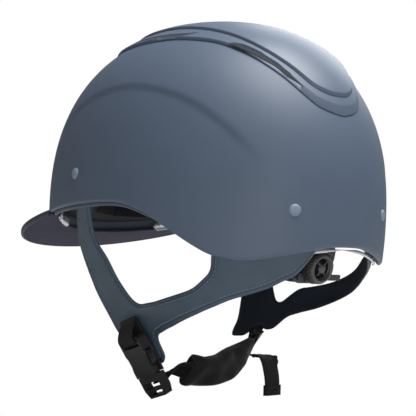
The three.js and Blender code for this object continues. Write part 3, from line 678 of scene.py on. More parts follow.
for label, spot in rivets["places"].items():
    spot = np.array(spot, float)
    out = shellNormals(spot[None])[0]
    r, h = rivets["radius"], rivets["rise"]
    foot = [(0, -1.0), (r * 0.96, -1.0), (r, 0.0), (r, 0.45)]
    profile = foot + [(r * 0.93, 0.8), (r * 0.75, h * 0.8), (r * 0.45, h * 0.96), (0, h)]
    cap = latheSolid(f"rivetCap_{label}", profile, rivets["count"], rivetCap, spot, out)
    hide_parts(f"rivet_{label}")
    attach(cap, "helmet")

# ---- leather harness, laid out flat by bearing and level, then wrapped to its hanging form

harness = {
    "thickness": 2.2, "drop": 5.1, "grid": 1.25, "edgeStep": 1.3, "seamStep": 1.6, "seam": 2.6,
    "stitches": 3.7, "tabInset": 6.2, "flatScale": 2.0, "join": 7.0,
    "front": [(-19.5, 27, -11.5, 27), (-20.5, 14, -11.5, 14), (-21.7, 0, -12.6, 0),
              (-23.4, -12, -13.8, -12), (-24.6, -24, -13.6, -24), (-23.4, -38, -10, -37),
              (-21.6, -52, -7.3, -52), (-19.7, -66, -2.5, -68), (-17, -80, 2.5, -80),
              (-14.5, -92, 5.2, -90), (-10.5, -101, 6.2, -98), (-5, -108, 7.4, -105),
              (-1, -111.5, 5, -110.5)],
    "fork": [(-18, -82, -1, -79), (-18.6, -90, -7.5, -86.5), (-18.4, -95.5, -12.5, -94.5)],
    "rear": [(-4, -70, -4, -88), (1, -68.8, 3, -90), (7, -67.2, 8.5, -88.6), (12, -65.8, 14, -85.2),
             (18, -63.2, 20, -81.8), (26, -59, 27, -77), (32, -54.8, 33, -72.5), (36, -48.5, 36.5, -69.3),
             (39, -41.4, 39.2, -67), (40, -27, 41, -65.4), (46, -25, 46, -61), (53, -24, 53, -56.6),
             (60, -22, 59.5, -52.2), (66, -18, 65, -46.8), (72, -14, 69.3, -43.2), (79, -14, 74.2, -32.8),
             (80, -14, 77, -25)],
    "tab": [(67, 9, 75.5, 9), (67, -4, 75.5, -4), (66.5, -18, 76.5, -18)],
    "lift": {"left": 0.0, "right": 12.0},
}
# flatScale gives the millimetres per degree of bearing in the flat layout.


def strapInset(bearing, level):
    tabInset = harness["tabInset"]
    height = (np.maximum(level, 0) / form["top"]) ** form["power"]
    narrow = form["side"] * (1 - (1 - height) ** (1 / form["power"]))
    drop = harness["drop"]
    side = np.where(level > 0, tabInset + narrow + drop * (1 - np.minimum(level, 18) / 18),
                    tabInset + drop - 0.4 * level)
    back = tabInset - 0.2 * np.minimum(level + 25, 0)
    wrap = easing((bearing + 5) / 45) * np.where(level < -70, easing((level + 100) / 30), 1)
    return side * (1 - wrap) + back * wrap


def strapSurface(bearing, level, side, lift):
    # The leather's middle surface and its outward direction.
    bearing, level = np.asarray(bearing, float), np.asarray(level, float)
    angle = np.radians(bearing)
    inset = strapInset(bearing, level)
    nearRise = easing((bearing + 4) / 14) * easing((-level - 20) / 30)
    farRise = easing((bearing - 18) / 25) * easing((-level - 16) / 22)
    z = level + lift * (nearRise + 0.45 * farRise)
    y0 = form["rear"] * np.sin(angle)
    waist = np.sqrt(np.clip(1 - (y0 / form["front"]) ** 2, 0, 1))
    hold = np.clip((level + 60) / 60, 0, 1)
    x0 = (form["side"] - inset) * (1 - (1 - waist) * hold)
    normal = unit(np.stack([np.cos(angle) / form["side"], np.sin(angle) / form["rear"]], axis=-1))
    x1 = form["side"] * np.cos(angle) - inset * normal[..., 0]
    y1 = form["rear"] * np.sin(angle) - inset * normal[..., 1]
    ahead = bearing < 0
    p = np.stack([side * np.where(ahead, x0, x1), np.where(ahead, y0, y1), z], axis=-1)
    outX, outY = np.where(ahead, 1, normal[..., 0]), np.where(ahead, 0, normal[..., 1])
    out = np.stack([side * outX, outY, np.zeros_like(z)], axis=-1)
    return p, unit(out)


def flatOutline(stations, width=60):
    scale = harness["flatScale"]
    a = catmull([(s[0] * scale, s[1]) for s in stations], width)
    b = catmull([(s[2] * scale, s[3]) for s in stations], width)
    return np.vstack([a, b[::-1]])


def insideLoop(points, loop):
    # Even-odd test of many points against one closed outline.
    x, y = points[:, 0], points[:, 1]
    inside = np.zeros(len(points), bool)
    ax, ay = loop[:, 0], loop[:, 1]
    bx, by = np.roll(ax, -1), np.roll(ay, -1)
    for i in range(len(loop)):
        crosses = (ay[i] > y) != (by[i] > y)
        if crosses.any():
            reach = (bx[i] - ax[i]) * (y - ay[i]) / (by[i] - ay[i] + 1e-12)
            inside ^= crosses & (x < reach + ax[i])
    return inside


def awayFrom(points, loop):
    # Distance of each point to a closed outline.
    a, b = loop, np.roll(loop, -1, 0)
    best = np.full(len(points), 1e9)
    for i in range(len(loop)):
        d = b[i] - a[i]
        t = np.clip(((points - a[i]) @ d) / (d @ d + 1e-12), 0, 1)
        best = np.minimum(best, np.linalg.norm(points - a[i] - t[:, None] * d, axis=1))
    return best


def distanceField(xs, ys, loops):
    # Signed distance to the union of outlines on a flat grid, inside positive.
    gx, gy = np.meshgrid(xs, ys)
    flat = np.column_stack([gx.ravel(), gy.ravel()])
    fields = [np.where(insideLoop(flat, loop), 1, -1) * awayFrom(flat, loop) for loop in loops]
    # Rounded joins: inner corners between strips are filled with a soft radius.
    total, soft = fields[0], harness["join"]
    for other in fields[1:]:
        h = np.clip(0.5 + 0.5 * (total - other) / soft, 0, 1)
        total = other * (1 - h) + total * h + soft * h * (1 - h)
    return gx, gy, total.reshape(gx.shape)


def contourLoop(xs, ys, field):
    # The longest closed zero line of the field, by marching squares.
    def cross(i0, j0, i1, j1):
        a, b = field[i0, j0], field[i1, j1]
        t = a / (a - b)
        return (xs[j0] + (xs[j1] - xs[j0]) * t, ys[i0] + (ys[i1] - ys[i0]) * t)

    inside = field > 0
    links = {}
    spots = {}
    for i in range(len(ys) - 1):
        for j in range(len(xs) - 1):
            corners = [inside[i, j], inside[i, j + 1], inside[i + 1, j + 1], inside[i + 1, j]]
            if all(corners) or not any(corners):
                continue
            a, b, c, d = (i, j), (i, j + 1), (i + 1, j + 1), (i + 1, j)
            sides = [(a, b), (b, c), (d, c), (a, d)]
            ends = [s for s in sides if inside[s[0]] != inside[s[1]]]
            for s in ends:
                spots[s] = cross(*s[0], *s[1])
            for k in range(0, len(ends) - 1, 2):
                links.setdefault(ends[k], []).append(ends[k + 1])
                links.setdefault(ends[k + 1], []).append(ends[k])
    best = []
    unseen = set(links)
    while unseen:
        first = min(unseen)
        loop, here = [first], first
        unseen.discard(first)
        while True:
            ahead = [n for n in links[here] if n in unseen]
            if not ahead:
                break
            here = ahead[0]
            unseen.discard(here)
            loop.append(here)
        if len(loop) > len(best):
            best = loop
    return np.array([spots[s] for s in best])


def evenLoop(loop, step):
    closed = np.vstack([loop, loop[:1]])
    run = np.r_[0, np.cumsum(np.linalg.norm(np.diff(closed, axis=0), axis=1))]
    count = int(run[-1] / step)
    want = np.linspace(0, run[-1], count, endpoint=False)
    return np.column_stack([np.interp(want, run, closed[:, k]) for k in (0, 1)])


def smoothLoop(loop, passes):
    for _ in range(passes):
        loop = 0.5 * loop + 0.25 * (np.roll(loop, 1, 0) + np.roll(loop, -1, 0))
    return loop


def leatherSide(label, side):
    front = harness["front"] if label == "left" else harness["front"][:8] + harness["fork"]
    loops = [flatOutline(front), flatOutline(harness["rear"]), flatOutline(harness["tab"], 20)]
    every = np.vstack(loops)
    lo, hi = every.min(0) - 4, every.max(0) + 4
    xs, ys = (np.arange(lo[k], hi[k], harness["grid"]) for k in (0, 1))
    gx, gy, field = distanceField(xs, ys, loops)
    edge = smoothLoop(evenLoop(contourLoop(xs, ys, field), harness["edgeStep"]), 3)
    spots = np.column_stack([gx.ravel(), gy.ravel()])
    inner = spots[(field.ravel() > 1.0)]
    inner = inner[awayFrom(inner, edge) > 0.9]
    plan = np.vstack([edge, inner])
    n = len(edge)
    flat = delaunay_2d_cdt([Vector(p) for p in plan], [], [list(range(n))], 1, 1e-5)
    verts = np.array([tuple(v) for v in flat[0]])
    faces = [tuple(f) for f in flat[2]]
    away = awayFrom(verts, edge)
    lift = harness["lift"][label]
    p, out = strapSurface(verts[:, 0] / harness["flatScale"], verts[:, 1], side, lift)
    half, seamAt = harness["thickness"] / 2, harness["seam"]
    puff = 0.35 * easing((away - seamAt) / 3) - 0.45 * np.exp(-((away - seamAt) / 0.7) ** 2)
    rounded = half * np.sqrt(np.clip(1 - (1 - np.minimum(away, half) / half) ** 2, 0, 1))
    top = p + out * (0.25 + np.maximum(rounded, 0.15) + puff)[:, None]
    low = p - out * np.maximum(rounded, 0.15)[:, None]
    count = len(verts)
    bound = {}
    for f in faces:
        for k in range(3):
            a, b = f[k], f[(k + 1) % 3]
            bound[(a, b)] = bound.get((a, b), 0) + 1
    rim = [(a, b) for (a, b) in bound if (b, a) not in bound]
    allFaces = faces + [tuple(reversed([v + count for v in f])) for f in faces]
    allFaces += [(b, a, a + count, b + count) for a, b in rim]
    piece = meshPiece(f"harness_{label}_leather", np.vstack([top, low]), allFaces, [leather, innerLeather],
                      floats={"edge": np.r_[away, away]})
    for face in piece.data.polygons[len(faces):2 * len(faces)]:
        face.material_index = 1
    outwards(piece)
    seam = evenLoop(edge, harness["seamStep"])
    run = loopRun(seam)
    after = np.roll(seam, -1, 0)
    turn = np.sign(np.sum(seam[:, 0] * after[:, 1] - after[:, 0] * seam[:, 1]))
    seam = smoothLoop(seam + np.column_stack([-run[:, 1], run[:, 0]]) * turn * harness["stitches"], 2)
    line, lie = strapSurface(seam[:, 0] / harness["flatScale"], seam[:, 1], side, lift)
    stitches = layRow(f"harness_{label}_stitches", line + lie * (half + 0.42), lie, stitchTree, threadNavy,
                      closed=True)
    for made in (piece, stitches):
        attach(made, "helmet")
    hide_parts(f"harness_{label}")


for label, side in (("left", 1), ("right", -1)):
    leatherSide(label, side)
print("harness ready")

# ---- bound trim just inside the rim over the ears; the liner's rim behind it, in bright silver as painted highlight, follows the same rim path

trim = {"from": -97.0, "to": 50.0, "inset": 4.4, "drop": 1.0, "width": 2.6, "height": 4.2, "count": 120}


def rimPath(low, high, inset, lift, count, side=1):
    y = np.linspace(low, high, count)
    z = rimLevel(y) + lift
    reach = np.where(y > 0, form["rear"], form["front"]) - inset
    above = 1 - (np.maximum(z, 0) / form["top"]) ** form["power"] * 0.45
    skirt = np.where(z < 0, 1 - form["tuck"] * (z / form["skirt"]) ** 2, above)
    x = (form["side"] - inset) * np.sqrt(np.clip(skirt ** 2 - (y / reach) ** 2, 0, 1))
    p = np.column_stack([x * side, y, z])
    return p, shellNormals(p * [1, 1, 0])


for label, side in (("left", 1), ("right", -1)):
    count = trim["count"]
    path, out = rimPath(trim["from"], trim["to"], trim["inset"], -trim["drop"], count, side)
    t = np.linspace(0, 1, count)
    ends = np.minimum(easing(t * 14 + 0.15), easing((1 - t) * 12 + 0.05))
    section = roundSection(trim["height"], trim["width"], 2.4, 20)
    roll = sweep(f"rimTrim_{label}", path, section, leather, out, scales=ends)
    edges = roll.data.attributes.new("edge", "FLOAT", "POINT")
    edges.data.foreach_set("value", np.full(len(roll.data.vertices), 9.0, np.float32))
    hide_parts(f"rim_trim_{label}")
    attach(roll, "helmet")
print("trim ready")

# ---- peak: painted top, cloth underneath, and a bound edge

peak = {"half": 83.5, "root": -95.0, "reach": 102.0, "slope": 0.238, "level": -5.0, "top": 2.4,
        "cloth": 1.5,
        "topInset": (0.8, -0.3), "clothInset": (1.2, 9.0),
        "binding": {"inset": 1.0, "wide": 2.6, "over": 0.5, "count": 160}}


def peakRow(x, inset):
    return -(form["front"] - inset) * np.sqrt(np.clip(1 - (x / (form["side"] - inset)) ** 2, 0, 1))


def peakEdgeLine(count, inset=0.0):
    a = np.linspace(0.03, math.pi - 0.03, count)
    return np.column_stack([(peak["half"] - inset) * np.cos(a),
                            peak["root"] - (peak["reach"] - inset) * np.sin(a)])


def peakLevel(y):
    return peak["level"] - peak["slope"] * (peak["root"] - y)


def peakSheet(name, inset, rootInset, low, high, finish, columns=120, rows=26):
    edge = peakEdgeLine(columns, inset)
    root = np.minimum(peakRow(edge[:, 0], rootInset), peak["root"] - 0.5)
    root = np.maximum(root, edge[:, 1] + 0.4)
    f = np.linspace(0, 1, rows)[:, None]
    y = root[None] * (1 - f) + edge[None, :, 1] * f
    x = np.broadcast_to(edge[:, 0], y.shape)
    away = np.minimum((1 - f) * (root - edge[:, 1])[None], 30)
    top = np.stack([x, y, peakLevel(y) + high], axis=-1)
    bottom = np.stack([x, y, peakLevel(y) + low], axis=-1)
    n = columns
    loop = np.concatenate([top, bottom[::-1]])
    pts = loop.reshape(-1, 3)
    total = len(loop)
    faces = gridFaces(total, n)
    faces += [((total - 1) * n + j, (total - 1) * n + j + 1, j + 1, j) for j in range(n - 1)]
    faces += [tuple(i * n for i in range(total)), tuple(i * n + n - 1 for i in reversed(range(total)))]
    edgeAway = np.concatenate([away, away[::-1]]).reshape(-1)
    return outwards(meshPiece(name, pts, faces, finish, floats={"edge": edgeAway}))


seamTintAndShade(peakCloth, (0.02, 0.02, 0.035), at=5.0, width=0.5)
peakTop = peakSheet("peakTop", *peak["topInset"], 0.0, peak["top"], shellPaint)
peakUnder = peakSheet("peakCloth", *peak["clothInset"], -peak["cloth"], -0.05, peakCloth)
bound = peak["binding"]
edge = peakEdgeLine(bound["count"], bound["inset"])
path = np.column_stack([edge, peakLevel(edge[:, 1]) + (peak["top"] - peak["cloth"]) / 2])
section = roundSection(bound["wide"], peak["top"] + peak["cloth"] + bound["over"], 2.6, 18)
binding = sweep("peakBinding", path, section, peakEdge, np.tile([0.0, 0.0, 1.0], (bound["count"], 1)))
peakPieces = ((peakTop, ["peak_shell"], "matt_navy_shell"), (peakUnder, ["peak_lining"], "peak_fabric"),
              (binding, [], "peak_fabric"))
for made, nodes, finish in peakPieces:
    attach(made, "helmet")
    if nodes:
        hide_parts(*nodes)
print("peak ready")

# ---- inside: liner, headband and crown pads, and bright silver runs on the liner's rim as painted highlight

inside = {"liner": (25, 32, 38, 27), "pad": 8.0, "recess": 5.0, "rearLevel": -14.0, "rearZone": 78.0,
          "headbandTop": 34.0,
          "crownPad": (34, 46), "crownBottom": 99.0, "shellGap": 9.4, "cushionTop": 27.6, "quilts": 9,
          "fill": 0.7,
          "apex": 0.99, "outerRows": 26, "innerRows": 46}


def linerEdge(bearings, inset, lift):
    # The liner's lower edge follows the rim, and stops higher up behind the cradle.
    level = rimLevels(bearings, lift, inset)
    y = domePoint(bearings, level, inset)[:, 1]
    rise = easing((y - inside["rearZone"] + 3) / 6)
    return np.maximum(level, levelOf(np.full(len(level), inside["rearLevel"])) * rise + level * (1 - rise))


def linerShell():
    bearings = np.linspace(0, 2 * math.pi, 180, endpoint=False)
    gap = inside["shellGap"]
    outInset, inInset = (gap,) * 4, inside["liner"]
    outerEdge = linerEdge(bearings, outInset, inside["recess"])
    innerEdge = linerEdge(bearings, inInset, inside["recess"])
    outer = domeSheet(bearings, inside["apex"], outerEdge, inside["outerRows"], outInset)
    inner = domeSheet(bearings, inside["apex"], innerEdge, inside["innerRows"], inInset)
    ramp = []
    for t in (0.06, 0.2, 0.4, 0.6, 0.8, 0.94):
        ramp.append(outer[-1] * (1 - t) + inner[-1] * t + np.array([0, 0, -1.2 * math.sin(math.pi * t)]))
    rows = np.concatenate([outer, np.array(ramp), inner[::-1]])
    tips = [[0, 0, form["top"] - gap], [0, 0, form["top"] - inInset[3]]]
    return pointedRings("linerFoam", rows, tips, foamSkin)


def padRing():
    # Fabric headband: quilted into short cushions, each a little full.
    bearings = np.linspace(0, 2 * math.pi, 360, endpoint=False)
    outInset = tuple(v + 0.3 for v in inside["liner"])
    inInset = tuple(v + inside["pad"] for v in inside["liner"])
    mid = tuple((a + b) / 2 for a, b in zip(outInset, inInset))
    low = rimLevels(bearings, 1.5, mid)
    y = domePoint(bearings, low, mid)[:, 1]
    rise = easing((y - inside["rearZone"] + 20) / 10)
    low = np.maximum(low, levelOf(np.full(len(low), inside["rearLevel"] + 2)) * rise + low * (1 - rise))
    high = levelOf(np.full(len(low), inside["headbandTop"]))
    quilt = np.abs(np.sin(bearings * inside["quilts"])) ** 0.35
    depthRange = np.array(inInset) - np.array(outInset)
    rows = []
    for t in np.linspace(0, 1, 15):
        level = high + (low - high) * t
        rows.append(domePoint(bearings, level, outInset))
    for t in np.linspace(0, 1, 27):
        level = low + (high - low) * t
        full = np.sin(math.pi * np.clip(t, 0.03, 0.97)) ** 0.35
        depth = np.array(outInset)[None] + depthRange[None] * (full * (0.62 + 0.38 * quilt))[:, None]
        rows.append(np.array([domePoint(b, l, tuple(d)) for b, l, d in zip(bearings, level, depth)]))
    rows = np.array(rows)
    n = len(bearings)
    last = (len(rows) - 1) * n
    faces = gridFaces(len(rows), n, True)
    faces += [(last + j, last + (j + 1) % n, (j + 1) % n, j) for j in range(n)]
    return outwards(meshPiece("headbandPad", rows.reshape(-1, 3), faces, liningCloth))


def crownCushion():
    # Quilted pad against the liner's roof: soft rim below, domed on top.
    a = np.linspace(0, 2 * math.pi, 96, endpoint=False)
    w, l = inside["crownPad"]
    bottom, roof = inside["crownBottom"], inside["cushionTop"]
    rings = []
    for share, drop in ((0.3, 0), (0.6, 0.1), (0.8, 0.5), (0.92, 1.4), (0.985, 3.2), (1.0, 5.0)):
        x, y = w * share * np.cos(a), l * share * np.sin(a)
        quilt = 0.9 * np.exp(-((np.abs(x) - 11) / 1.2) ** 2)
        rings.append(np.column_stack([x, y, bottom + drop + quilt * (share < 0.93)]))
    for share in (0.985, 0.8, 0.4):
        x, y = w * share * np.cos(a), l * share * np.sin(a)
        rings.append(np.column_stack([x, y, domeHeight(x, y, roof)]))
    return pointedRings("crownPad", np.array(rings), [[0, 0, bottom], [0, 0, form["top"] - roof]],
                        liningCloth)


liner, headband, cushion = linerShell(), padRing(), crownCushion()
linings = ((liner, "foam_liner", "liner_foam", None),
           (headband, "headband_pad", "black_lining", inside["fill"]),
           (cushion, "crown_pad", "black_lining", inside["fill"]))
for made, node, finish, fill in linings:
    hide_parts(node)
    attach(made, "helmet")


def paintedHighlightRun(name, low, high, inset, lift, size, side):
    path, out = rimPath(low, high, inset, lift, 110, side)
    t = np.linspace(0, 1, 110)
    ends = np.minimum(easing(t * 12 + 0.1), easing((1 - t) * 12 + 0.1))
    # The run is laid in bright silver: painted highlight along the liner's rim.
    roll = sweep(name, path, roundSection(size[0], size[1], 2.4, 14), rimPaintedHighlight, out, scales=ends)
    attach(roll, "helmet")


# Name, first and last y, inset, lift and section of each painted highlight run.
paintedHighlightRuns = [("linerEdgeFront", -125, 30, 8.4, 1.8, (1.4, 1.2)),
              ("linerEdgeRear", 98, 131.5, 6.2, 0.4, (2.6, 1.6)),
              ("linerLens", -127, -99, 9.0, -0.6, (7.5, 3.6))]
for name, *run in paintedHighlightRuns:
    for label, side in (("left", 1), ("right", -1)):
        paintedHighlightRun(f"{name}_{label}", *run, side)
print("inside ready")

# ---- rear cradle and dial, in the cradle's tilted frame: u across, v out of the dial's face, w up

cradle = {"centre": (0, 101.5, -36), "tilt": -12.0, "spoke": (2.0, 13.2), "spokeTurns": (0.6, -0.75),
          "pad": (46, 27), "knobLow": 5.3, "knobHigh": 11.7, "radius": 11.2, "ribs": 36}


def inCradle(points):
    t = math.radians(cradle["tilt"])
    p = np.asarray(points, float)
    y = p[..., 1] * math.cos(t) - p[..., 2] * math.sin(t)
    z = p[..., 1] * math.sin(t) + p[..., 2] * math.cos(t)
    return np.stack([p[..., 0], y, z], axis=-1) + np.array(cradle["centre"])


def cradleLathe(name, profile, count, finish):
    # Rings about the dial's axis; the profile's third value is the depth of the grip ribs there.
    a = np.linspace(0, 2 * math.pi, count, endpoint=False)
    rings = []
    for r, v, grip in profile[1:-1]:
        radius = r + grip * np.cos(a * cradle["ribs"])
        rings.append(np.column_stack([radius * np.cos(a), np.full(count, v), radius * np.sin(a)]))
    tips = inCradle([[0, profile[0][1], 0], [0, profile[-1][1], 0]])
    return pointedRings(name, inCradle(rings), tips, finish)


def cradleStack(name, section, layers, finish):
    # A section scaled and stacked along the dial's axis: each layer is a share and a distance.
    count = len(section)
    rings = [np.column_stack([section[:, 0] * s, np.full(count, v), section[:, 1] * s]) for s, v in layers]
    return flatRings(name, inCradle(rings), finish)


r, lo, hi = cradle["radius"], cradle["knobLow"], cradle["knobHigh"]
knobSide = [(0, lo, 0), (r - 1.0, lo, 0), (r - 0.5, lo + 0.5, 0.1), (r - 0.3, lo + 1.2, 0.32),
            (r - 0.3, hi - 1.8, 0.32), (r - 0.7, hi - 1.0, 0.25), (r - 1.2, hi - 0.4, 0.1),
            (r - 1.9, hi, 0)]
knobFace = [(8.6, hi, 0), (8.0, hi - 0.3, 0), (7.5, hi - 1.4, 0), (7.1, hi - 2.6, 0), (0, hi - 2.8, 0)]
wellSide = [(0, hi - 2.79, 0), (7.05, hi - 2.79, 0), (7.05, hi - 2.5, 0), (0, hi - 2.5, 0)]
hubSide = [(0, hi - 2.6, 0), (3.3, hi - 2.6, 0), (3.3, hi - 1.2, 0), (2.9, hi - 0.8, 0), (0, hi - 0.7, 0)]
knob = cradleLathe("dialKnob", knobSide + knobFace, 288, dialPlastic)
# Painted shade: a thin near-black disc on the floor of the knob's recess.
dark = cradleLathe("dialWellPaintedShade", wellSide, 72, darkToneAndPaintedShade)
hub = cradleLathe("dialHub", hubSide, 48, dialPlastic)
bars = []
for spin in cradle["spokeTurns"]:
    turn = np.array([[math.cos(spin), math.sin(spin)], [-math.sin(spin), math.cos(spin)]])
    grip = roundSection(*cradle["spoke"], 3.5, 28) @ turn
    layers = [(1.0, hi - 2.7), (1.0, hi - 1.9), (0.96, hi - 1.4), (0.8, hi - 1.2)]
    bars.append(cradleStack(f"dialSpoke_{len(bars) + 1}", grip, layers, blackPlastic))
for made in (knob, dark, hub, *bars):
    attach(made, "dial")
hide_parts("dial_knob")

ring = roundSection(*cradle["pad"], 4.5, 72)
layers = [(0.4, -9.6), (0.75, -9.9), (0.9, -9.6), (0.97, -8.6), (1.0, -7.0), (0.99, -5.0), (0.96, -3.6),
          (0.9, -3.3)]
napePad = cradleStack("napePad", ring, layers, liningCloth)
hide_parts("nape_pad")
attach(napePad, "cradle")
bevels = {"cradle_plate": 0.8, "dial_housing": 0.35, "size_band_left": 0.35, "size_band_right": 0.35}
for node, width in bevels.items():
    bevelled(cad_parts[node], width, 2)
print("cradle ready")

# ---- side-release buckle, in its own frame: u across, v out of its face, w up its long axis

buckleTop = np.array([69.1, -9.3, -93])
buckleUp = unit(np.array([0.41, -0.29, 0.86]))
buckleOut = np.array([0.9, -0.02, -0.44])
buckleOut = unit(buckleOut - buckleUp * (buckleOut @ buckleUp))
buckleAcross = np.cross(buckleOut, buckleUp)


def inBuckle(points):
    p = np.asarray(points, float)
    return buckleTop + p[..., :1] * buckleAcross + p[..., 1:2] * buckleOut + p[..., 2:3] * buckleUp


bevels = {"buckle_socket": 0.7, "buckle_plug": 0.7, "release_arm_front": 0.7, "release_arm_rear": 0.7,
          "strap_slider": 0.9}
for node, width in bevels.items():
    bevelled(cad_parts[node], width)

webbing = {"width": 20.0, "thickness": 1.6, "rib": 0.16, "ribs": 7, "hem": (21.2, 4.2)}


def webSection(width, thickness):
    # Flat woven band: rounded selvedges and shallow lengthwise ribs.
    base = roundSection(width, thickness, 5.0, 64)
    edge = 1 - np.abs(base[:, 0]) / (width / 2)
    wave = webbing["rib"] * np.cos(base[:, 0] / width * webbing["ribs"] * 2 * math.pi) * easing(edge * 6)
    base[:, 1] += np.sign(base[:, 1]) * wave
    return base


def webStrip(name, path, across, width=webbing["width"], thickness=webbing["thickness"]):
    # Band along a path whose width runs the given way at each point.
    path, across = np.asarray(path, float), np.asarray(across, float)
    run = unit(np.gradient(path, axis=0))
    across = squareTo(across, run)
    return sweep(name, path, webSection(width, thickness), webCloth, np.cross(across, run))


def frameRoute(stations, count):
    return catmull([s[0] for s in stations], count), catmull([s[1] for s in stations], count)


# Loop that hangs the buckle: sewn to the leather, round the socket's top bar and back.
loopPath = [(0, -5.3, 12.5), (0, -4.9, 9), (0, -5.2, 3), (0, -5.3, -3.5), (0, -2.5, -5.2), (0, 2.6, -5.2),
            (0, 5.2, -3.2), (0, 5.4, 0.5), (0, 2.6, 4.6), (0, -0.9, 7.6), (0, -3.3, 10.2), (0, -3.6, 12.5)]
path = inBuckle(catmull(loopPath, 90))
anchorLoop = webStrip("anchorWebbing", path, np.tile(buckleAcross, (90, 1)))
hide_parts("anchor_webbing_left")
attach(anchorLoop, "helmet")
print("buckle ready")

# ---- chin strap: webbing from the plug through the padded sleeve and the slider to the right-hand leather

sewnIn = unit(np.array([0, 0.75, 0.5]) - 0.5 * buckleAcross)
chinStations = [(inBuckle([0, -4.4, -38]), -buckleAcross), (inBuckle([0, -8.5, -37]), sewnIn),
                ((37, 4, -115), (-0.05, 0.5, 0.86)), ((20, 5, -117), (0, 0.3, 0.95)),
                ((0, 3, -117), (0, 0.2, 0.97)), ((-20, -1, -112.5), (0, 0.2, 0.97)),
                ((-38, -6, -105.5), (0.1, 0.4, 0.91)), ((-53, -14.5, -99.5), (0, 0.6, 0.8)),
                ((-63, -20.5, -92.5), (0, 0.85, 0.52)), ((-67.6, -22, -84), (0, 0.9, 0.42))]
chinPath, chinAcross = frameRoute(chinStations, 260)
chinWeb = webStrip("chinWebbing", chinPath, chinAcross)
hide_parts("chin_webbing")
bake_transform(chinWeb)


tube = {"from": 0.196, "to": 0.738, "half": 12.8, "depth": 4.4, "swell": 1.6, "power": 3.2, "count": 64,
        "pinch": 9}


def sleeve():
    # A soft tube slipped over the webbing: fuller in the middle, pinched and creased at its ends.
    low, high = (int(tube[end] * (len(chinPath) - 1)) for end in ("from", "to"))
    p, a = chinPath[low:high + 1], chinAcross[low:high + 1]
    run = unit(np.gradient(p, axis=0))
    n = len(p)
    t = np.linspace(0, 1, n)
    upright = 1 - easing(t[:, None] * 7)
    a = a * (1 - upright) + np.array([0, 0.4, 0.9]) * upright
    a = squareTo(a, run)
    out = np.cross(a, run)
    angle = np.linspace(0, 2 * math.pi, tube["count"], endpoint=False)
    wide = tube["half"] - 1.4 * easing((t - 0.45) / 0.5) + 0.4 * np.sin(t * 13)
    wide -= 0.6 * (1 - easing(t * tube["pinch"])) + 0.8 * (1 - easing((1 - t) * tube["pinch"]))
    deep = tube["depth"] + tube["swell"] * np.sin(math.pi * t) ** 0.7 + 0.35 * np.sin(t * 17 + 1)
    c, s = np.cos(angle), np.sin(angle)
    u = np.sign(c) * np.abs(c) ** (2 / tube["power"])
    v = np.sign(s) * np.abs(s) ** (2 / tube["power"])
    crease = 0.35 * np.sin(t[:, None] * 24 + c[None] * 2.2) * np.abs(v)[None]
    crease = crease * easing(np.minimum(t, 1 - t) * 8)[:, None]
    thick = deep[:, None] + crease
    pts = p[:, None] + a[:, None] * (u[None] * wide[:, None])[..., None]
    pts = pts + out[:, None] * (v[None] * thick)[..., None]
    tucked = {0: [], n - 1: []}
    for end, way in ((0, -1), (n - 1, 1)):
        for share, shift in ((0.93, 0.6), (0.8, 0.2), (0.72, -1.5)):
            tucked[end].append(p[end] + (pts[end] - p[end]) * share + run[end] * way * shift)
    return flatRings("chinPadSleeve", np.concatenate([tucked[0][::-1], pts, tucked[n - 1]]), padCloth)


chinPad = sleeve()
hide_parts("chin_pad")
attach(chinPad, "helmet")

tailAlong = (0.96, 0.25, 0)
tailSpots = [(-58, -9, -108), (-57, -3.5, -108.4), (-55, 0.5, -108.6), (-53, 6, -111), (-52, 10, -118),
             (-51.5, 12.5, -126), (-51.5, 13, -136.5)]
tailPath, tailAcross = frameRoute([(spot, tailAlong) for spot in tailSpots], 120)
tailWeb = webStrip("strapTail", tailPath[:112], tailAcross[:112])
hem = webStrip("tailHem", tailPath[98:], tailAcross[98:], *webbing["hem"])
for made, node in ((tailWeb, "strap_tail"), (hem, "tail_hem")):
    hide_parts(node)
    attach(made, "helmet")

# ---- the other CAD pieces keep their form and take a finish

plasticNodes = ("cradle_plate", "dial_housing", "dial_pinion", "size_band_left", "size_band_right",
                "buckle_socket",
                "buckle_plug", "release_arm_front", "release_arm_rear", "strap_slider")
finishes = {node: (blackPlastic, "black_plastic") for node in plasticNodes}
for label in ("rear_left", "rear_right", "front_left", "front_right"):
    finishes[f"anchor_washer_{label}"] = (washerSteel, "washer_steel")
for node, (finish, name) in finishes.items():
    paint(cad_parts[node], finish)
print("chin strap ready")

# ---- camera, light and floor


# The camera stands at a bearing about the frame's origin: degrees, metres, and the lens in millimetres.
view = {"pitch": 3.3942, "azimuth": 138.3928, "elevation": -3.7646, "away": 1.157456, "lens": 134.76,
        "shift": (-0.0212, 0.0096)}


def studio():
    pitch, azimuth, elevation = (math.radians(view[key]) for key in ("pitch", "azimuth", "elevation"))
    level = math.cos(elevation)
    back = Vector((math.sin(azimuth) * level, -math.cos(azimuth) * level, math.sin(elevation)))
    right = Vector((math.cos(azimuth), math.sin(azimuth), 0))
    up = back.cross(right)
    lean = Matrix.Rotation(pitch, 3, "X")
    camera = bpy.data.cameras.new("camera")
    camera.sensor_width = 36
    camera.lens = view["lens"]
    camera.shift_x, camera.shift_y = view["shift"]
    camera.clip_start = 0.05
    camera.clip_end = 20
    eye = addObject("camera", camera)
    turn = Matrix((lean @ right, lean @ up, lean @ back)).transposed()
    eye.matrix_world = Matrix.Translation(lean @ (back * view["away"])) @ turn.to_4x4()
    bpy.context.scene.camera = eye


studio()


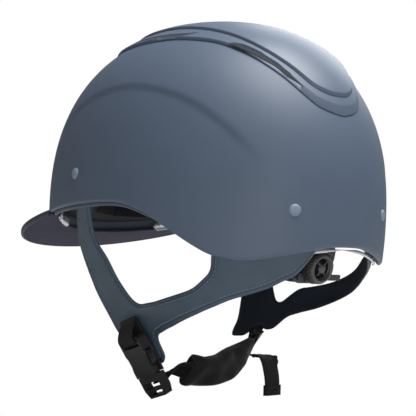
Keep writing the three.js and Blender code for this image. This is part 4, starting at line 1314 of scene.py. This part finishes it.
def areaLight(name, place, aim, size, power):
    light = bpy.data.lights.new(name, "AREA")
    light.shape = "RECTANGLE"
    light.size, light.size_y = size
    light.energy = power
    lamp = addObject(name, light)
    lamp.location = place
    lamp.rotation_mode = "QUATERNION"
    lamp.rotation_quaternion = (Vector(aim) - Vector(place)).to_track_quat("-Z", "Y")


areaLight("topSoft", (-0.12, 0.4, 1.4), (0, 0.02, 0.05), (1.2, 0.9), 41)
areaLight("frontSoft", (0.85, 1.1, -0.02), (0, 0.02, -0.06), (0.8, 0.3), 4)
areaLight("farSoft", (-1.15, -0.55, 0.85), (0, 0.02, 0.05), (0.9, 0.7), 6)
bpy.context.scene.view_settings.view_transform = "Standard"

room = {"light": 0.18, "floor": -0.142, "reach": 6, "tone": 0.55}


def plainBehind(tree, lit, seen, end):
    # One shader lights the room, and the other is the plain tone seen directly.
    rays = tree.nodes.new("ShaderNodeLightPath")
    either = tree.nodes.new("ShaderNodeMixShader")
    wire(tree, (rays, "Is Camera Ray", either, "Fac"), (lit, 0, either, 1), (seen, 0, either, 2),
         (either, 0, end, "Surface"))


world = bpy.data.worlds.new("paleRoom")
world.use_nodes = True
nodes = world.node_tree.nodes
setInputs(nodes["Background"], {"Color": (1, 1, 1, 1), "Strength": room["light"]})
seen = addNode(world.node_tree, "ShaderNodeBackground", {"Color": (1, 1, 1, 1)})
plainBehind(world.node_tree, nodes["Background"], seen, nodes["World Output"])
bpy.context.scene.world = world

floorFinish = bpy.data.materials.new("paleFloor")
floorFinish.use_nodes = True
nodes = floorFinish.node_tree.nodes
tone = room["tone"]
matt = setInputs(nodes["Principled BSDF"], {"Base Color": (tone, tone, tone, 1), "Roughness": 0.9})
plainBehind(floorFinish.node_tree, matt, nodes.new("ShaderNodeEmission"), nodes["Material Output"])
floorMesh = bpy.data.meshes.new("floor")
r, z = room["reach"], room["floor"]
corners = [(-r, -r, z), (r, -r, z), (r, r, z), (-r, r, z)]
floorMesh.from_pydata(corners, [], [(0, 1, 2, 3)])
floorMesh.materials.append(floorFinish)
floor = addObject("floor", floorMesh)
